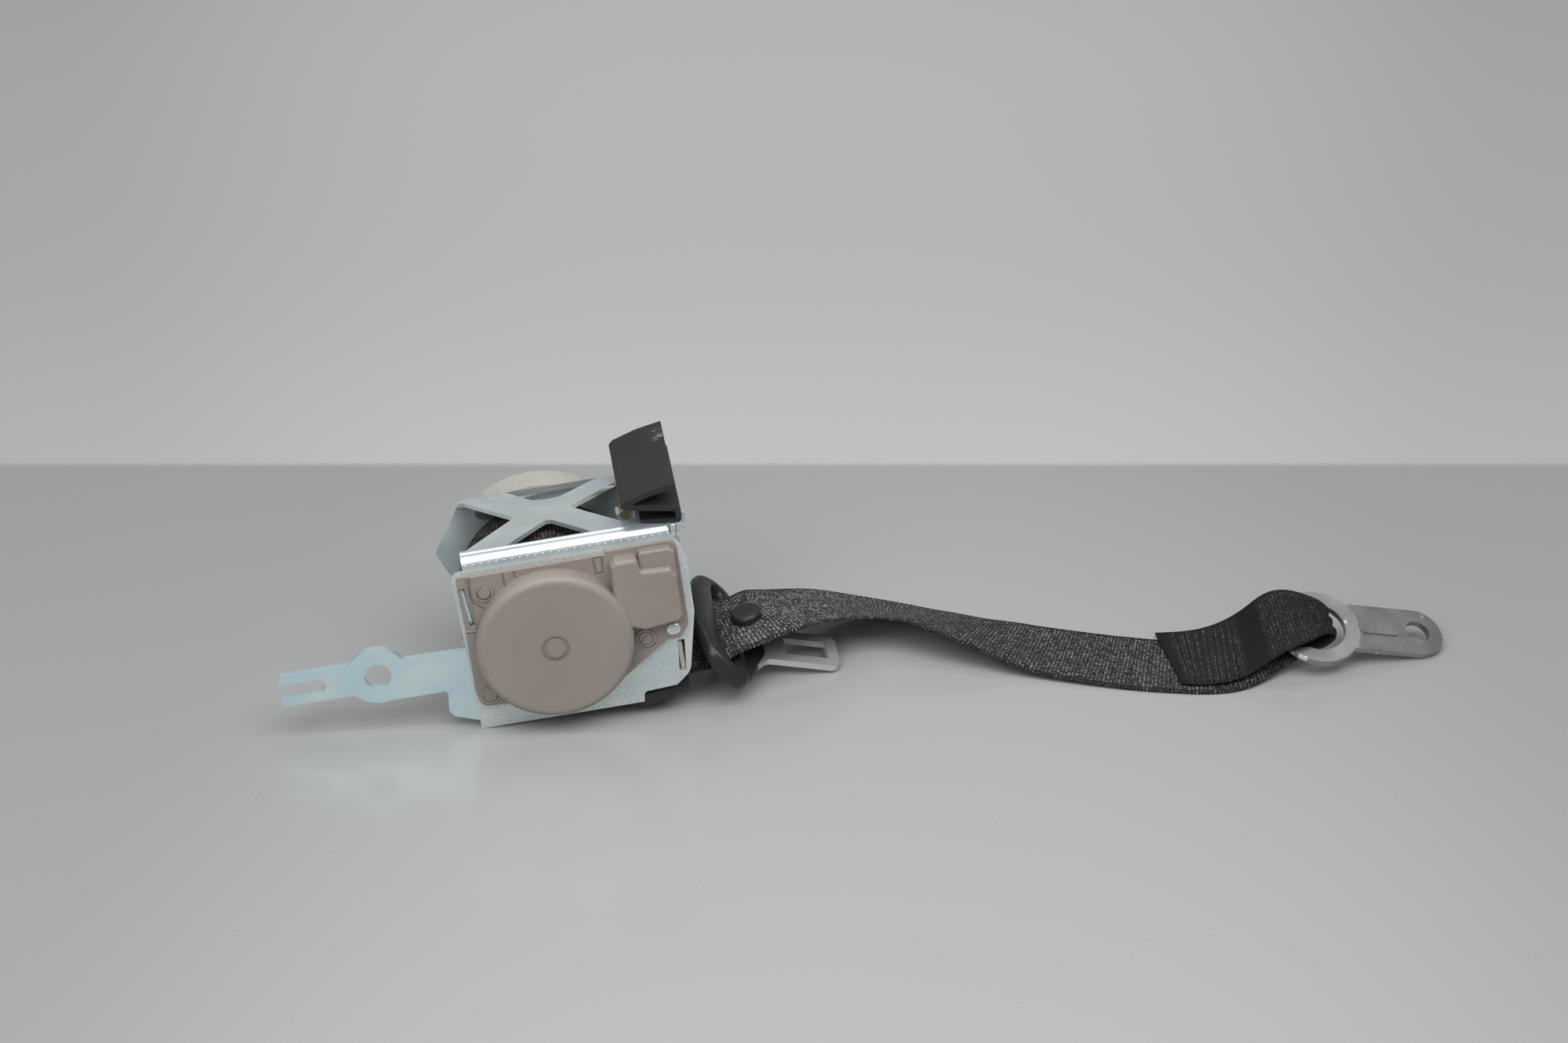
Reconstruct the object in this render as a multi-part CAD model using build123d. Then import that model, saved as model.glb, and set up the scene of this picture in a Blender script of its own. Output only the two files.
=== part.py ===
from build123d import *
import os
from math import acos, atan2, cos, degrees, radians, sin, sqrt

os.makedirs("parts", exist_ok=True)

# Seat belt: an emergency locking retractor with its mounting arm, the webbing,
# the sliding tongue with its stop button, and the floor anchor plate.
# Millimetres. The retractor is drawn level (x along its side plates, y into its
# depth, z up) and then tilted as it lies on the floor.

# Webbing
web_width = 47.0
web_thick = 1.2
wound_radius = 38.5
lay_gap = 0.3

# Retractor frame
steel = 2.0
frame_length = 100.2
bend_inner = 5.0
roll_room = 4.2
floor_room = 1.8
plate_gap = 0.8
tilt = 6.7

# Spool and its bearings
axis_x = 38.0
flange_rim = 1.5
flange_thick = 1.5
spindle_flat = 2.9
core_radius = 13.0
journal_radius = 6.0
running_gap = 0.05
side_play = 0.8
bar_radius = 4.4
bar_head_radius = 5.4
back_journal_radius = 7.5
bush_wall = 2.5

# Locking ratchet and pawl
ratchet_radius = 36.0
ratchet_teeth = 24
tooth_depth = 3.0
ratchet_thick = 2.8
pawl_behind = 23.5
pawl_above = 36.7
pawl_eye = 3.3
pawl_pin_radius = 1.8
pawl_swing = 9.0
lock_tooth_angle = 99.0

# Inertia sensor behind the back plate
lock_gear_radius = 22.0
lock_gear_thick = 3.4
lock_tooth_depth = 1.6
ball_radius = 4.5
ball_ahead = 20.0
ball_below = 28.3
ball_lift = 1.2
lever_ahead = 33.5
lever_below = 20.9
lever_swing = 5.0
lever_tail = 15.0
tail_weight = 2.6

# Mounting arm
arm_thick = 3.5
arm_width = 19.0
arm_hole_x = -40.6
arm_hole_z = 33.4
bolt_hole_radius = 6.0
arm_boss_radius = 13.3
fork_width = 15.0
fork_slot = 6.5
fork_end_x = -83.6
fork_slot_depth = 20.2
arm_inner_x = 23.0

# Spring cover on the front plate
cover_base = 2.5
cover_height = 11.5
cover_wall = 1.7
block_height = 9.4
shelf_height = 6.4
dome_radius = 34.6
spring_turns = 7
spring_strip = 0.6
clip_leg = 2.1

# Mechanism cover on the back plate
mech_depth = 18.0
mech_radius = 43.0
mech_wall = 1.7

# Trim lip on the end of the web, and the exit lip under the webbing
lip_wall = 1.8
lip_pin_radius = 2.8
lip_pin_x = 77.7

# Tongue
tongue_steel = 3.0
blade_width = 23.0
blade_length = 47.2
latch_window_length = 19.8
latch_window_width = 12.0
latch_land = 5.0
slot_length = 57.0
slot_gap = 7.0
slot_offset = 6.8
bar_height = 14.0
loop_side = 2.5
grip_side = 5.5
grip_thick = 7.0
bend_angle = 36.8
tongue_tip = (163.6, 39.9, 4.9)
tongue_heading = 2.1
tongue_slope = 12.2
tongue_roll = 7.2

# Stop button
button_radius = 7.0
button_height = 4.2
button_stem = 1.6

# Anchor plate
anchor_steel = 3.0
anchor_width = 24.9
anchor_fold = (397.50253, 14.732597, 15.698434)
anchor_heading = 6.2
anchor_slope = 13.0
anchor_roll = 24.8
anchor_arm_length = 32.0
anchor_bend = 9.0
ring_outer = 19.8
ring_hole = 13.0
ring_centre = 17.5
ring_bar = 6.0
ring_back = 35.0
sleeve_wall = 0.9

# Places that follow from the sizes above
axis_z = wound_radius + floor_room
flange_radius = wound_radius + flange_rim
web_under = axis_z + wound_radius + roll_room
frame_height = web_under + steel
arm_back = steel + arm_thick
flange_front = arm_back + 0.6
flange_back = flange_front + flange_thick
wound_front = flange_back + side_play / 2
wound_back = wound_front + web_width
ratchet_front = wound_back + side_play / 2
ratchet_back = ratchet_front + ratchet_thick
back_inner = ratchet_back + plate_gap
frame_depth = back_inner + steel
gear_front = frame_depth + 1.9
gear_back = gear_front + lock_gear_thick
sensor_mid = frame_depth + 7.0
lever_front = sensor_mid - 2.5
lever_back = sensor_mid + 2.5
pawl_x = axis_x - pawl_behind
pawl_z = axis_z + pawl_above
ball_x = axis_x + ball_ahead
ball_z = axis_z - ball_below
lever_pivot_x = axis_x + lever_ahead
lever_pivot_z = axis_z - lever_below
lip_pin_z = web_under - lip_pin_radius - 0.1
lip_length = frame_depth + 0.5
cradle_span = (frame_depth / 2 - 3.5, frame_depth / 2 + 3.5)

seat = Rot(0, -tilt, 0)
spool_line = Pos(axis_x, 0, axis_z)


def slab(outline, y_from, y_to):
    """An outline drawn in x and z, carried through the depth."""
    return extrude(Plane.XZ.offset(-y_from) * outline, amount=-(y_to - y_from))


def shape(points, rounds=()):
    """A closed outline with some corners rounded, as (index, radius) pairs."""
    face = make_face(Polyline(*points, close=True))
    for index, radius in rounds:
        corner = Vector(*points[index])
        nearest = face.vertices().sort_by_distance(corner)[0]
        face = fillet(nearest, radius)
    return face


def disc(radius, x, z, y_from, y_to):
    """A round solid on a line along the depth."""
    return slab(Pos(x, z) * Circle(radius), y_from, y_to)


def turned(profile):
    """A profile of (radius, depth) points turned about the spool's line."""
    face = make_face(Polyline(*[(r, y) for r, y in profile], close=True))
    return spool_line * revolve(face, Axis.Y)


def polar(radius, angle):
    """A point about the spool's line, as x and z."""
    return (axis_x + radius * cos(radians(angle)), axis_z + radius * sin(radians(angle)))


def toothed(radius, depth, count, phase, y_from, y_to):
    """A ratchet wheel: each tooth has a radial flank and a long sloping back."""
    points = []
    for k in range(count):
        angle = phase + 360.0 / count * k
        points.append(polar(radius, angle))
        points.append(polar(radius - depth, angle + 0.6))
    return slab(shape(points), y_from, y_to)


def frame():
    """The U-shaped stamped frame: two side plates and a web cut to an X brace."""
    outer_bend = bend_inner + steel
    tall = 2 * frame_height
    outer = Pos(frame_depth / 2, 0) * Rectangle(frame_depth, tall)
    outer = Pos(0, frame_height - tall / 2) * outer
    outer = fillet(outer.vertices().group_by(Axis.Y)[-1], outer_bend)
    inner = Pos(frame_depth / 2, 0) * Rectangle(frame_depth - 2 * steel, tall)
    inner = Pos(0, web_under - tall / 2) * inner
    inner = fillet(inner.vertices().group_by(Axis.Y)[-1], bend_inner)
    channel = extrude(Plane.YZ.offset(-15) * (outer - inner), amount=frame_length + 30)
    trim = slab(side_outline(False), -1, outer_bend)
    trim += slab(side_outline(True), frame_depth - outer_bend, frame_depth + 1)
    web_left, web_right = 5.0, 93.3
    middle = Box(web_right - web_left, frame_depth - 2 * outer_bend, 2 * steel)
    trim += Pos((web_left + web_right) / 2, frame_depth / 2, frame_height - steel) * middle
    body = channel & trim
    for opening in brace_openings():
        body -= Pos(0, 0, web_under - bend_inner) * extrude(opening, amount=steel + bend_inner + 1)
    body -= disc(journal_radius + bush_wall, axis_x, axis_z, -1, steel + 1)
    body -= disc(back_journal_radius + bush_wall, axis_x, axis_z, back_inner - 1, frame_depth + 1)
    for x, z in cover_clip_places():
        body -= disc(clip_leg, x, z, -1, steel + 1)
    for x, z in mech_clip_places():
        body -= disc(clip_leg, x, z, back_inner - 1, frame_depth + 1)
    body -= disc(pawl_pin_radius, pawl_x, pawl_z, back_inner - 1, frame_depth + 1)
    body -= disc(lip_pin_radius, lip_pin_x, lip_pin_z, back_inner - 6, frame_depth + 1)
    for x, z in rivet_places():
        body -= rivet(x, z)
    body -= slab(left_slot(0), -1, steel + 1)
    body -= slab(shape([(90.0, 12.7), (93.0, 12.7), (94.1, 28.2), (91.1, 28.2)]), -1, steel + 1)
    return body + cradle()


def side_outline(is_back):
    """A side plate's edge; the back plate has a pointed ear on its left."""
    right = [(93.3, 95), (93.3, 84.5), (95.2, 79.4), (98.4, 74.6), (frame_length, 68.5)]
    right += [(frame_length, 41.4), (94.8, 11.6), (88.0, 5.9), (73.2, 5.0), (72.7, 0), (0, 0)]
    if is_back:
        left = [(-3.3, 44.8), (-8.9, 58.4), (6.4, 83.6), (6.4, 95)]
        return shape(right + left, [(6, 9), (8, 2), (12, 3), (11, 6)])
    left = [(-1.5, 73.4), (-1.2, 77.5), (3.8, 78.5), (3.8, 95)]
    return shape(right + left, [(6, 9), (8, 2), (12, 2)])


def brace_openings():
    """Four cut-outs that leave two crossing straps, each outline in x and y."""
    deep = frame_depth
    far = shape([(24.3, deep - 2.8), (70.9, deep - 2.8), (50.4, deep - 17.2), (44.0, deep - 18.0),
                 (37.5, deep - 16.8)], [(2, 4), (4, 4)])
    near = shape([(24.1, 5.9), (43.4, deep / 2 - 6.0), (61.4, 6.3)], [(1, 3)])
    left = shape([(-5, 7.0), (6.5, 7.0), (29.1, deep / 2), (7.9, deep - 9.2), (-5, deep - 9.2)],
                 [(2, 3)])
    right = shape([(53.6, deep / 2 + 2.0), (75.0, deep - 12.4), (81.4, deep - 12.4), (81.4, 11.9),
                   (75.6, 10.7)], [(0, 1)])
    return [far, near, left, right]


def cradle():
    """The curled tab of the web that holds the lip pin."""
    snug = lip_pin_radius + running_gap
    ring = Circle(snug + 1.6) - Circle(snug)
    half = ring & Pos(0, -5) * Rectangle(20, 10)
    curl = slab(Pos(lip_pin_x, lip_pin_z) * half, *cradle_span)
    edge = lip_pin_x + snug
    strip = shape([(edge, lip_pin_z - 0.2), (edge, web_under + 1), (edge + 3, web_under + 1),
                   (edge + 1.6, lip_pin_z - 0.2)])
    return curl + slab(strip, *cradle_span)


def cover_clip_places():
    return [(11.2, 68.7), (77.4, 33.4), (6.4, 17.6)]


def mech_clip_places():
    return [(17.0, 62.0), (83.0, 46.0), (17.0, 14.0)]


def rivet_places():
    return [(16.5, 32.0), (15.5, 11.5)]


def rivet(x, z):
    """A flush rivet through the front plate and the arm, countersunk at both ends."""
    shank, sink = 2.6, 1.2
    body = disc(shank, x, z, 0, arm_back)
    front = Pos(x, sink / 2, z) * Rot(-90, 0, 0) * Cone(shank, shank + sink, sink)
    back = Pos(x, arm_back - sink / 2, z) * Rot(90, 0, 0) * Cone(shank, shank + sink, sink)
    return body + front + back


def left_slot(grow):
    """The narrow slot near the left edge, shared by the frame and the cover."""
    low, high = (2.9 - grow, 51.3 - grow), (0.9 - grow, 71.0 + grow)
    wide = 2.2 + 2 * grow
    return shape([low, (low[0] + wide, low[1]), (high[0] + wide, high[1]), high])


def mounting_arm():
    """The flat arm: an open fork, a bolt eye and a stem riveted behind the front plate."""
    fork_half = fork_width / 2
    eye = Pos(arm_hole_x, arm_hole_z) * Circle(arm_boss_radius)
    fork_len = arm_hole_x - fork_end_x
    fork = Pos(fork_end_x + fork_len / 2, arm_hole_z) * Rectangle(fork_len, fork_width)
    top = arm_hole_z + arm_width / 2 - 3.4
    low = top - arm_width
    stem = shape([(arm_hole_x, top), (arm_inner_x - 4, top - 1.0), (arm_inner_x, 34.0),
                  (arm_inner_x, 9.0), (16.0, 3.6), (-0.8, 3.4), (-11.0, 7.4), (-12.8, 10.6),
                  (-11.6, low), (arm_hole_x, low)],
                 [(1, 4), (3, 4), (4, 3), (6, 2.5), (7, 2), (8, 2)])
    plan = eye + fork + stem
    waist = [v for v in plan.vertices() if abs(v.X - arm_hole_x) < arm_boss_radius + 1]
    waist = [v for v in waist if abs(v.X - arm_hole_x) > 6]
    plan = fillet(waist, 5)
    tips = plan.vertices().group_by(Axis.X)[0]
    plan = fillet(tips, 1.5)
    slot_end = fork_end_x + fork_slot_depth
    slot = Pos(slot_end - fork_slot / 2, arm_hole_z) * Circle(fork_slot / 2)
    slot_run = fork_slot_depth - fork_slot / 2
    slot += Pos(fork_end_x + slot_run / 2 - 2, arm_hole_z) * Rectangle(slot_run + 4, fork_slot)
    plan -= slot
    plan -= Pos(arm_hole_x, arm_hole_z) * Circle(bolt_hole_radius)
    arm = slab(plan, steel, arm_back)
    for x, z in rivet_places():
        arm -= rivet(x, z)
    clip_x, clip_z = cover_clip_places()[2]
    return arm - disc(clip_leg + 0.9, clip_x, clip_z, steel - 1, arm_back + 1)


def arm_rivets():
    return Compound(children=[rivet(x, z) for x, z in rivet_places()])


def front_bush():
    """The plastic bearing that carries the spool in the front plate."""
    bore = journal_radius + running_gap
    return turned([(bore, -0.3), (bore + bush_wall - running_gap, -0.3),
                   (journal_radius + bush_wall, steel), (journal_radius + bush_wall + 3, steel),
                   (journal_radius + bush_wall + 3, steel + 1.4), (bore, steel + 1.4)])


def back_bush():
    """The plastic bearing that carries the ratchet's hub in the back plate."""
    bore = back_journal_radius + running_gap
    rim = back_journal_radius + bush_wall
    return turned([(bore, back_inner), (rim, back_inner), (rim, frame_depth),
                   (rim + 2.5, frame_depth), (rim + 2.5, frame_depth + 1.3),
                   (bore, frame_depth + 1.3)])


def spool():
    """The reel: a drilled core with one flange and a flat-sided front spindle."""
    mouth = flange_front + 7
    body = turned([(0, -8.4), (4.0, -8.4), (4.0, -0.3), (journal_radius, -0.3),
                   (journal_radius, flange_front), (flange_radius, flange_front),
                   (flange_radius, flange_back), (core_radius, flange_back),
                   (core_radius, ratchet_front), (0, ratchet_front)])
    body -= disc(bar_head_radius + running_gap, axis_x, axis_z, mouth, ratchet_front + 1)
    flat = Box(20, 8.0, 4)
    for side in (-1, 1):
        body -= Pos(axis_x, -4.4, axis_z + side * (spindle_flat + 2)) * flat
    return body


def torsion_bar():
    """The steel bar inside the core, with a thicker head at each end."""
    start = flange_front + 7
    head = 7.0
    end = gear_back
    return turned([(0, start), (bar_head_radius, start), (bar_head_radius, start + head),
                   (bar_radius, start + head + 1.5), (bar_radius, ratchet_front - head - 1.5),
                   (bar_head_radius, ratchet_front - head), (bar_head_radius, end), (0, end)])


def ratchet_wheel():
    """The steel locking wheel at the back end of the spool, with its hub."""
    wheel = toothed(ratchet_radius, tooth_depth, ratchet_teeth, lock_tooth_angle,
                    ratchet_front, ratchet_back)
    wheel += disc(back_journal_radius, axis_x, axis_z, ratchet_back, gear_front)
    return wheel - disc(bar_head_radius + running_gap, axis_x, axis_z,
                        ratchet_front - 1, gear_front + 1)


def lock_gear():
    """The plastic sensing wheel on the bar's end; its teeth meet the sensor lever."""
    gear = toothed(lock_gear_radius, lock_tooth_depth, ratchet_teeth, lock_gear_phase(),
                   gear_front, gear_back)
    ring = disc(lock_gear_radius - 5, axis_x, axis_z, gear_back - 1.6, gear_back + 1)
    ring -= disc(10, axis_x, axis_z, gear_back - 2, gear_back + 2)
    gear -= ring
    return gear - disc(bar_head_radius + running_gap, axis_x, axis_z, gear_front - 1, gear_back + 1)


def lever_tip():
    """Where the sensor lever's tip lies when it has just caught the gear."""
    return polar(lock_gear_radius - lock_tooth_depth + 0.5, -52.0)


def lock_gear_phase():
    x, z = lever_tip()
    return degrees(atan2(z - axis_z, x - axis_x)) - 2.8


def webbing_roll():
    """The wound webbing between the flange and the ratchet."""
    return turned([(core_radius, wound_front), (wound_radius, wound_front),
                   (wound_radius, wound_back), (core_radius, wound_back)])


def spring_arbor():
    """The plastic hub that joins the spindle to the spring's inner end."""
    hub = turned([(0, -8.6), (6.4, -8.6), (6.4, -1.0), (0, -1.0)])
    bore = Circle(4.0 + running_gap) & Rectangle(12, 2 * (spindle_flat + running_gap))
    return hub - slab(Pos(axis_x, axis_z) * bore, -9.5, 0)


def main_spring():
    """The flat rewind spring: half circles of growing radius about the arbor."""
    inner = 7.2
    step = (dome_radius - cover_wall - 1.6 - inner) / (2 * spring_turns)
    edges_in, edges_out = [], []
    radius, shift = inner, 0.0
    for k in range(2 * spring_turns):
        start = 180.0 * (k % 2)
        edges_in.append(CenterArc((shift, 0), radius, start, 180))
        edges_out.append(CenterArc((shift, 0), radius + spring_strip, start, 180))
        shift += step / 2 if k % 2 else -step / 2
        radius += step / 2
    ribbon = None
    for a, b in zip(edges_in, edges_out):
        cap_a = Line(a @ 0, b @ 0)
        cap_b = Line(a @ 1, b @ 1)
        piece = make_face([a, cap_b, b, cap_a])
        piece = slab(Pos(axis_x, axis_z) * piece, -8.4, -2.2)
        ribbon = piece if ribbon is None else ribbon + piece
    return ribbon


def cover_outline():
    """The edge of the spring cover's base, from its left ear round to the dome."""
    plan = shape([(0.2, 76.6), (65.4, 77.0), (66.2, 78.4), (96.6, 78.9), (96.8, 37.0),
                  (92.9, 30.9), (86.6, 30.6), (65.4, 15.4), (14.5, 11.7), (2.0, 12.6),
                  (0.3, 20.5), (0.6, 49.7)],
                 [(3, 5), (4, 4), (5, 3), (9, 4), (0, 2)])
    return plan + Pos(axis_x, axis_z) * Circle(dome_radius + 1)


def cover_block(shrink):
    """The raised housing beside the dome and the lower shelf at its corner."""
    main = shape([(66.9, 74.0), (69.0, 76.0), (78.6, 76.0), (79.6, 69.6), (92.4, 69.0), (94.9, 65.0),
                  (94.9, 42.6), (78.0, 40.4), (71.2, 43.0), (68.8, 49.0), (66.0, 56.0)],
                 [(2, 2), (3, 1.5), (6, 3), (7, 3), (8, 2)])
    shelf = shape([(78.2, 66.0), (79.6, 77.4), (93.0, 77.4), (95.2, 75.2), (95.2, 62.0)],
                  [(1, 1.5), (2, 2), (3, 1)])
    if shrink:
        return offset(main, -shrink), offset(shelf, -shrink)
    return main, shelf


def spring_cover():
    """The grey plastic case: a flat base, a round spring dome and a raised housing."""
    body = slab(cover_outline(), -cover_base, 0)
    dome = disc(dome_radius, axis_x, axis_z, -cover_height, -cover_base)
    dome = fillet(dome.edges().group_by(Axis.Y)[0], 3.4)
    main, shelf = cover_block(0)
    main_block = slab(main, -block_height, -cover_base)
    main_block = fillet(main_block.edges().group_by(Axis.Y)[0], 1.8)
    shelf_block = slab(shelf, -shelf_height, -cover_base)
    shelf_block = fillet(shelf_block.edges().group_by(Axis.Y)[0], 1.2)
    body += shelf_block
    body += main_block
    body += dome
    body -= disc(dome_radius - cover_wall, axis_x, axis_z, -cover_height + cover_wall, 1)
    main_in, shelf_in = cover_block(cover_wall + 1.0)
    body -= slab(main_in, -block_height + cover_wall, 1)
    body -= slab(shelf_in, -shelf_height + cover_wall, 1)
    hub = turned([(4.8, -cover_height - 1), (6.2, -cover_height - 1), (6.2, -cover_height + 0.7),
                  (4.8, -cover_height + 0.7)])
    body -= hub
    body += turned([(0, -cover_height - 0.6), (3.9, -cover_height - 0.6),
                    (3.9, -cover_height + 0.4), (0, -cover_height + 0.4)])
    pocket = shape([(-1.5, 50.9), (6.2, 50.5), (5.2, 76.4), (4.0, 80), (-1.5, 80)])
    body -= slab(pocket, -cover_base - 1, -cover_base + 1.3)
    body -= slab(left_slot(0.3), -cover_base - 1, 1)
    for x, z in cover_clip_places():
        body += disc(4.4, x, z, -cover_base - 0.7, -cover_base + 0.5)
        body -= disc(clip_leg + 0.1, x, z, -cover_base - 2, 1)
        body -= disc(3.3, x, z, -cover_base - 2, -cover_base + 0.4)
    return body


def cover_clips():
    """Three plastic push rivets that hold the spring cover to the front plate."""
    clips = []
    for x, z in cover_clip_places():
        head = disc(3.1, x, z, -cover_base - 0.9, -cover_base + 0.3)
        head = fillet(head.edges().group_by(Axis.Y)[0], 0.5)
        leg = disc(clip_leg - 0.1, x, z, -cover_base, steel + 0.8)
        slit = Pos(x, steel / 2 + 0.6, z) * Box(0.8, steel + 3, 6)
        clips.append(head + leg - slit)
    return Compound(children=clips)


def mech_outline(shrink):
    """The mechanism cover's edge: a round top about the spool, and a wider foot."""
    foot = [(91, 50), (92, 36), (88, 10), (78, 2.5), (30, 2.5), (12, 6), (2, 22), (0, 50)]
    round_top = [polar(mech_radius, angle) for angle in range(150, 20, -10)]
    start = len(round_top)
    face = shape(round_top + foot, [(start, 8), (start + 2, 5), (start + 3, 5), (start + 5, 8)])
    return offset(face, -shrink) if shrink else face


def mechanism_cover():
    """The cream plastic cover over the locking mechanism, on the back plate."""
    back = frame_depth + mech_depth
    body = slab(mech_outline(0), frame_depth, back)
    body = fillet(body.edges().group_by(Axis.Y)[-1], 4)
    body -= slab(mech_outline(mech_wall), frame_depth - 1, back - mech_wall)
    for x, z in mech_clip_places():
        body += disc(4.2, x, z, frame_depth, back - 1)
        body -= disc(clip_leg + 0.1, x, z, frame_depth - 1, back + 1)
    ring = disc(lock_gear_radius + 4, axis_x, axis_z, back - 0.4, back + 1.0)
    ring -= disc(lock_gear_radius + 2, axis_x, axis_z, back - 1, back + 2)
    return body + ring


def mechanism_clips():
    """Three long push rivets through the mechanism cover into the back plate."""
    clips = []
    back = frame_depth + mech_depth
    for x, z in mech_clip_places():
        head = disc(3.6, x, z, back, back + 1.3)
        head = fillet(head.edges().group_by(Axis.Y)[-1], 0.6)
        clips.append(head + disc(clip_leg - 0.1, x, z, back_inner - 0.2, back + 0.5))
    return Compound(children=clips)


def sensor_housing():
    """The cage of the inertia sensor: a cup for the ball and ears for the lever."""
    rim, ear = ball_z + 2.8, lever_pivot_z + 3.5
    base = shape([(48.5, 5.2), (75.5, 5.2), (77, 8), (77, rim), (74.5, ear), (68.5, ear), (66.5, rim),
                  (48.5, rim)], [(4, 2), (5, 2)])
    body = slab(base, frame_depth, frame_depth + 14)
    cup = Pos(ball_x, sensor_mid, ball_z) * Sphere(ball_radius + 0.15)
    throat = Pos(ball_x, sensor_mid, ball_z + 6) * Cylinder(ball_radius + 0.3, 12)
    body -= cup + throat
    gap = shape([(65, rim + 0.5), (80, rim + 0.5), (80, ear + 3), (65, ear + 3)])
    body -= slab(gap, lever_front - 0.4, lever_back + 0.4)
    return body - disc(1.25, lever_pivot_x, lever_pivot_z, frame_depth - 1, frame_depth + 20)


def sensor_pin():
    """The pin that the sensor lever swings on."""
    return disc(1.2, lever_pivot_x, lever_pivot_z, frame_depth + 0.2, frame_depth + 14)


def turn_about(x, z, angle):
    """Turn about a line along the depth; a positive angle lifts the +x side."""
    return Pos(x, 0, z) * Rot(0, -angle, 0) * Pos(-x, 0, -z)


def sensor_lever():
    """The light lever that rests on the ball and can rise into the gear's teeth;
    a tail on the far side of its pin almost balances it."""
    tip_x, tip_z = lever_tip()
    under = ball_z + ball_radius + 0.35 + ball_lift
    low, high = lever_pivot_z - 1.9, lever_pivot_z + 2.2
    end = lever_pivot_x + lever_tail
    arm = shape([(lever_pivot_x + 2.0, low), (end - tail_weight, low), (end - tail_weight, low - 2.5),
                 (end, low - 2.5), (end, high + 2.2), (end - tail_weight, high + 2.2),
                 (end - tail_weight, high), (lever_pivot_x - 6, lever_pivot_z + 2.0),
                 (ball_x - 2, under + 2.2), (tip_x + 2.4, tip_z - 1.4), (tip_x, tip_z),
                 (tip_x + 0.9, tip_z - 1.6), (ball_x - 6.5, under + 0.2), (ball_x + 5, under)])
    body = slab(arm, lever_front, lever_back)
    body -= disc(1.2 + running_gap, lever_pivot_x, lever_pivot_z, lever_front - 1, lever_back + 1)
    return turn_about(lever_pivot_x, lever_pivot_z, lever_swing) * body


def sensor_ball():
    return Pos(ball_x, sensor_mid, ball_z) * Sphere(ball_radius)


def lock_pawl():
    """The steel pawl, drawn locked in the ratchet and then lifted clear."""
    nose_x, nose_z = polar(ratchet_radius - tooth_depth + 1.0, lock_tooth_angle + 1.5)
    outline = shape([(nose_x, nose_z), (nose_x - 0.4, nose_z + 2.6), (nose_x - 5, nose_z + 3.7),
                     (pawl_x + 1.5, pawl_z + pawl_eye), (pawl_x - 1.5, pawl_z + pawl_eye),
                     (pawl_x - pawl_eye, pawl_z), (pawl_x, pawl_z - pawl_eye),
                     (nose_x - 10, nose_z + 0.4)], [(2, 3), (3, 3), (4, 2), (5, 2.5), (6, 2.5)])
    pawl = slab(outline, ratchet_front, ratchet_back)
    pawl -= disc(pawl_pin_radius + running_gap, pawl_x, pawl_z, ratchet_front - 1, ratchet_back + 1)
    return turn_about(pawl_x, pawl_z, pawl_swing) * pawl


def pawl_pivot():
    """The headed pin that carries the pawl, riveted in the back plate."""
    head = disc(pawl_pin_radius + 0.9, pawl_x, pawl_z, ratchet_front - 1.1, ratchet_front - 0.2)
    return head + disc(pawl_pin_radius, pawl_x, pawl_z, ratchet_front - 0.5, frame_depth)


def lip_pin():
    """The yellow pin under the web, held in the curled tab and in the back plate."""
    pin = disc(lip_pin_radius, lip_pin_x, lip_pin_z, cradle_span[0] - 0.8, frame_depth)
    front = pin.edges().filter_by(GeomType.CIRCLE).group_by(Axis.Y)[0]
    return chamfer(front, 0.4)


def trim_lip():
    """The black extruded lip: two flaps like a beak over a foot that grips the web."""
    half = lip_wall / 2
    foot_top = frame_height + 0.1
    top = frame_height
    flap = shape([(99.5, top + 19.0 + half), (88, top + 16.9 + half), (77.2, top + 13.4 + half),
                  (75.2, top + 12.4), (75.2, top + 11.4), (77.0, top + 10.4), (98.2, top + 6.4),
                  (98.2, foot_top + lip_wall), (83.0, foot_top + lip_wall), (83.0, foot_top),
                  (100.4, foot_top), (100.9, top + 7.8), (79.4, top + 12.4),
                  (88.2, top + 15.3), (99.7, top + 17.4)],
                 [(3, 1.5), (4, 0.6), (10, 1.5), (11, 1.5), (12, 0.5)])
    body = slab(flap, 0, lip_length)
    hook_run = frame_depth - 2 * (bend_inner + steel) - 6
    hook = shape([(94.0, foot_top + 0.5), (95.7, foot_top + 0.5), (95.7, web_under - 2.0),
                  (88.5, web_under - 2.0), (88.5, web_under - 0.3), (94.0, web_under - 0.3)])
    cut = shape([(70, -2), (102, -2), (102, 0.8), (82, 6.0), (70, 9.2)])
    body -= Pos(0, 0, foot_top - 0.5) * extrude(cut, amount=lip_wall + 1.0)
    middle = frame_depth / 2
    return body + slab(hook, middle - hook_run / 2, middle + hook_run / 2)


def exit_guide():
    """The plastic lip between the side plates that the webbing leaves over."""
    lip = shape([(64.5, 1.4), (64.0, -1.2), (73.1, -3.4), (80.0, -2.4), (86.5, -0.2), (92.6, 2.2),
                 (93.6, 3.3), (86.0, 3.0), (74.0, 2.3)], [(1, 1), (2, 6), (3, 10), (4, 10)])
    return slab(lip, steel, back_inner)


def roll_exit(x, z):
    """Where the webbing's centre leaves the roll so that it runs straight to a point."""
    lifted = (seat * Pos(axis_x, 0, axis_z)).position
    reach = wound_radius + lay_gap + web_thick / 2
    toward = atan2(z - lifted.Z, x - lifted.X)
    leave = toward - acos(reach / sqrt((x - lifted.X) ** 2 + (z - lifted.Z) ** 2))
    return (lifted.X + reach * cos(leave), lifted.Z + reach * sin(leave))


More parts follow.
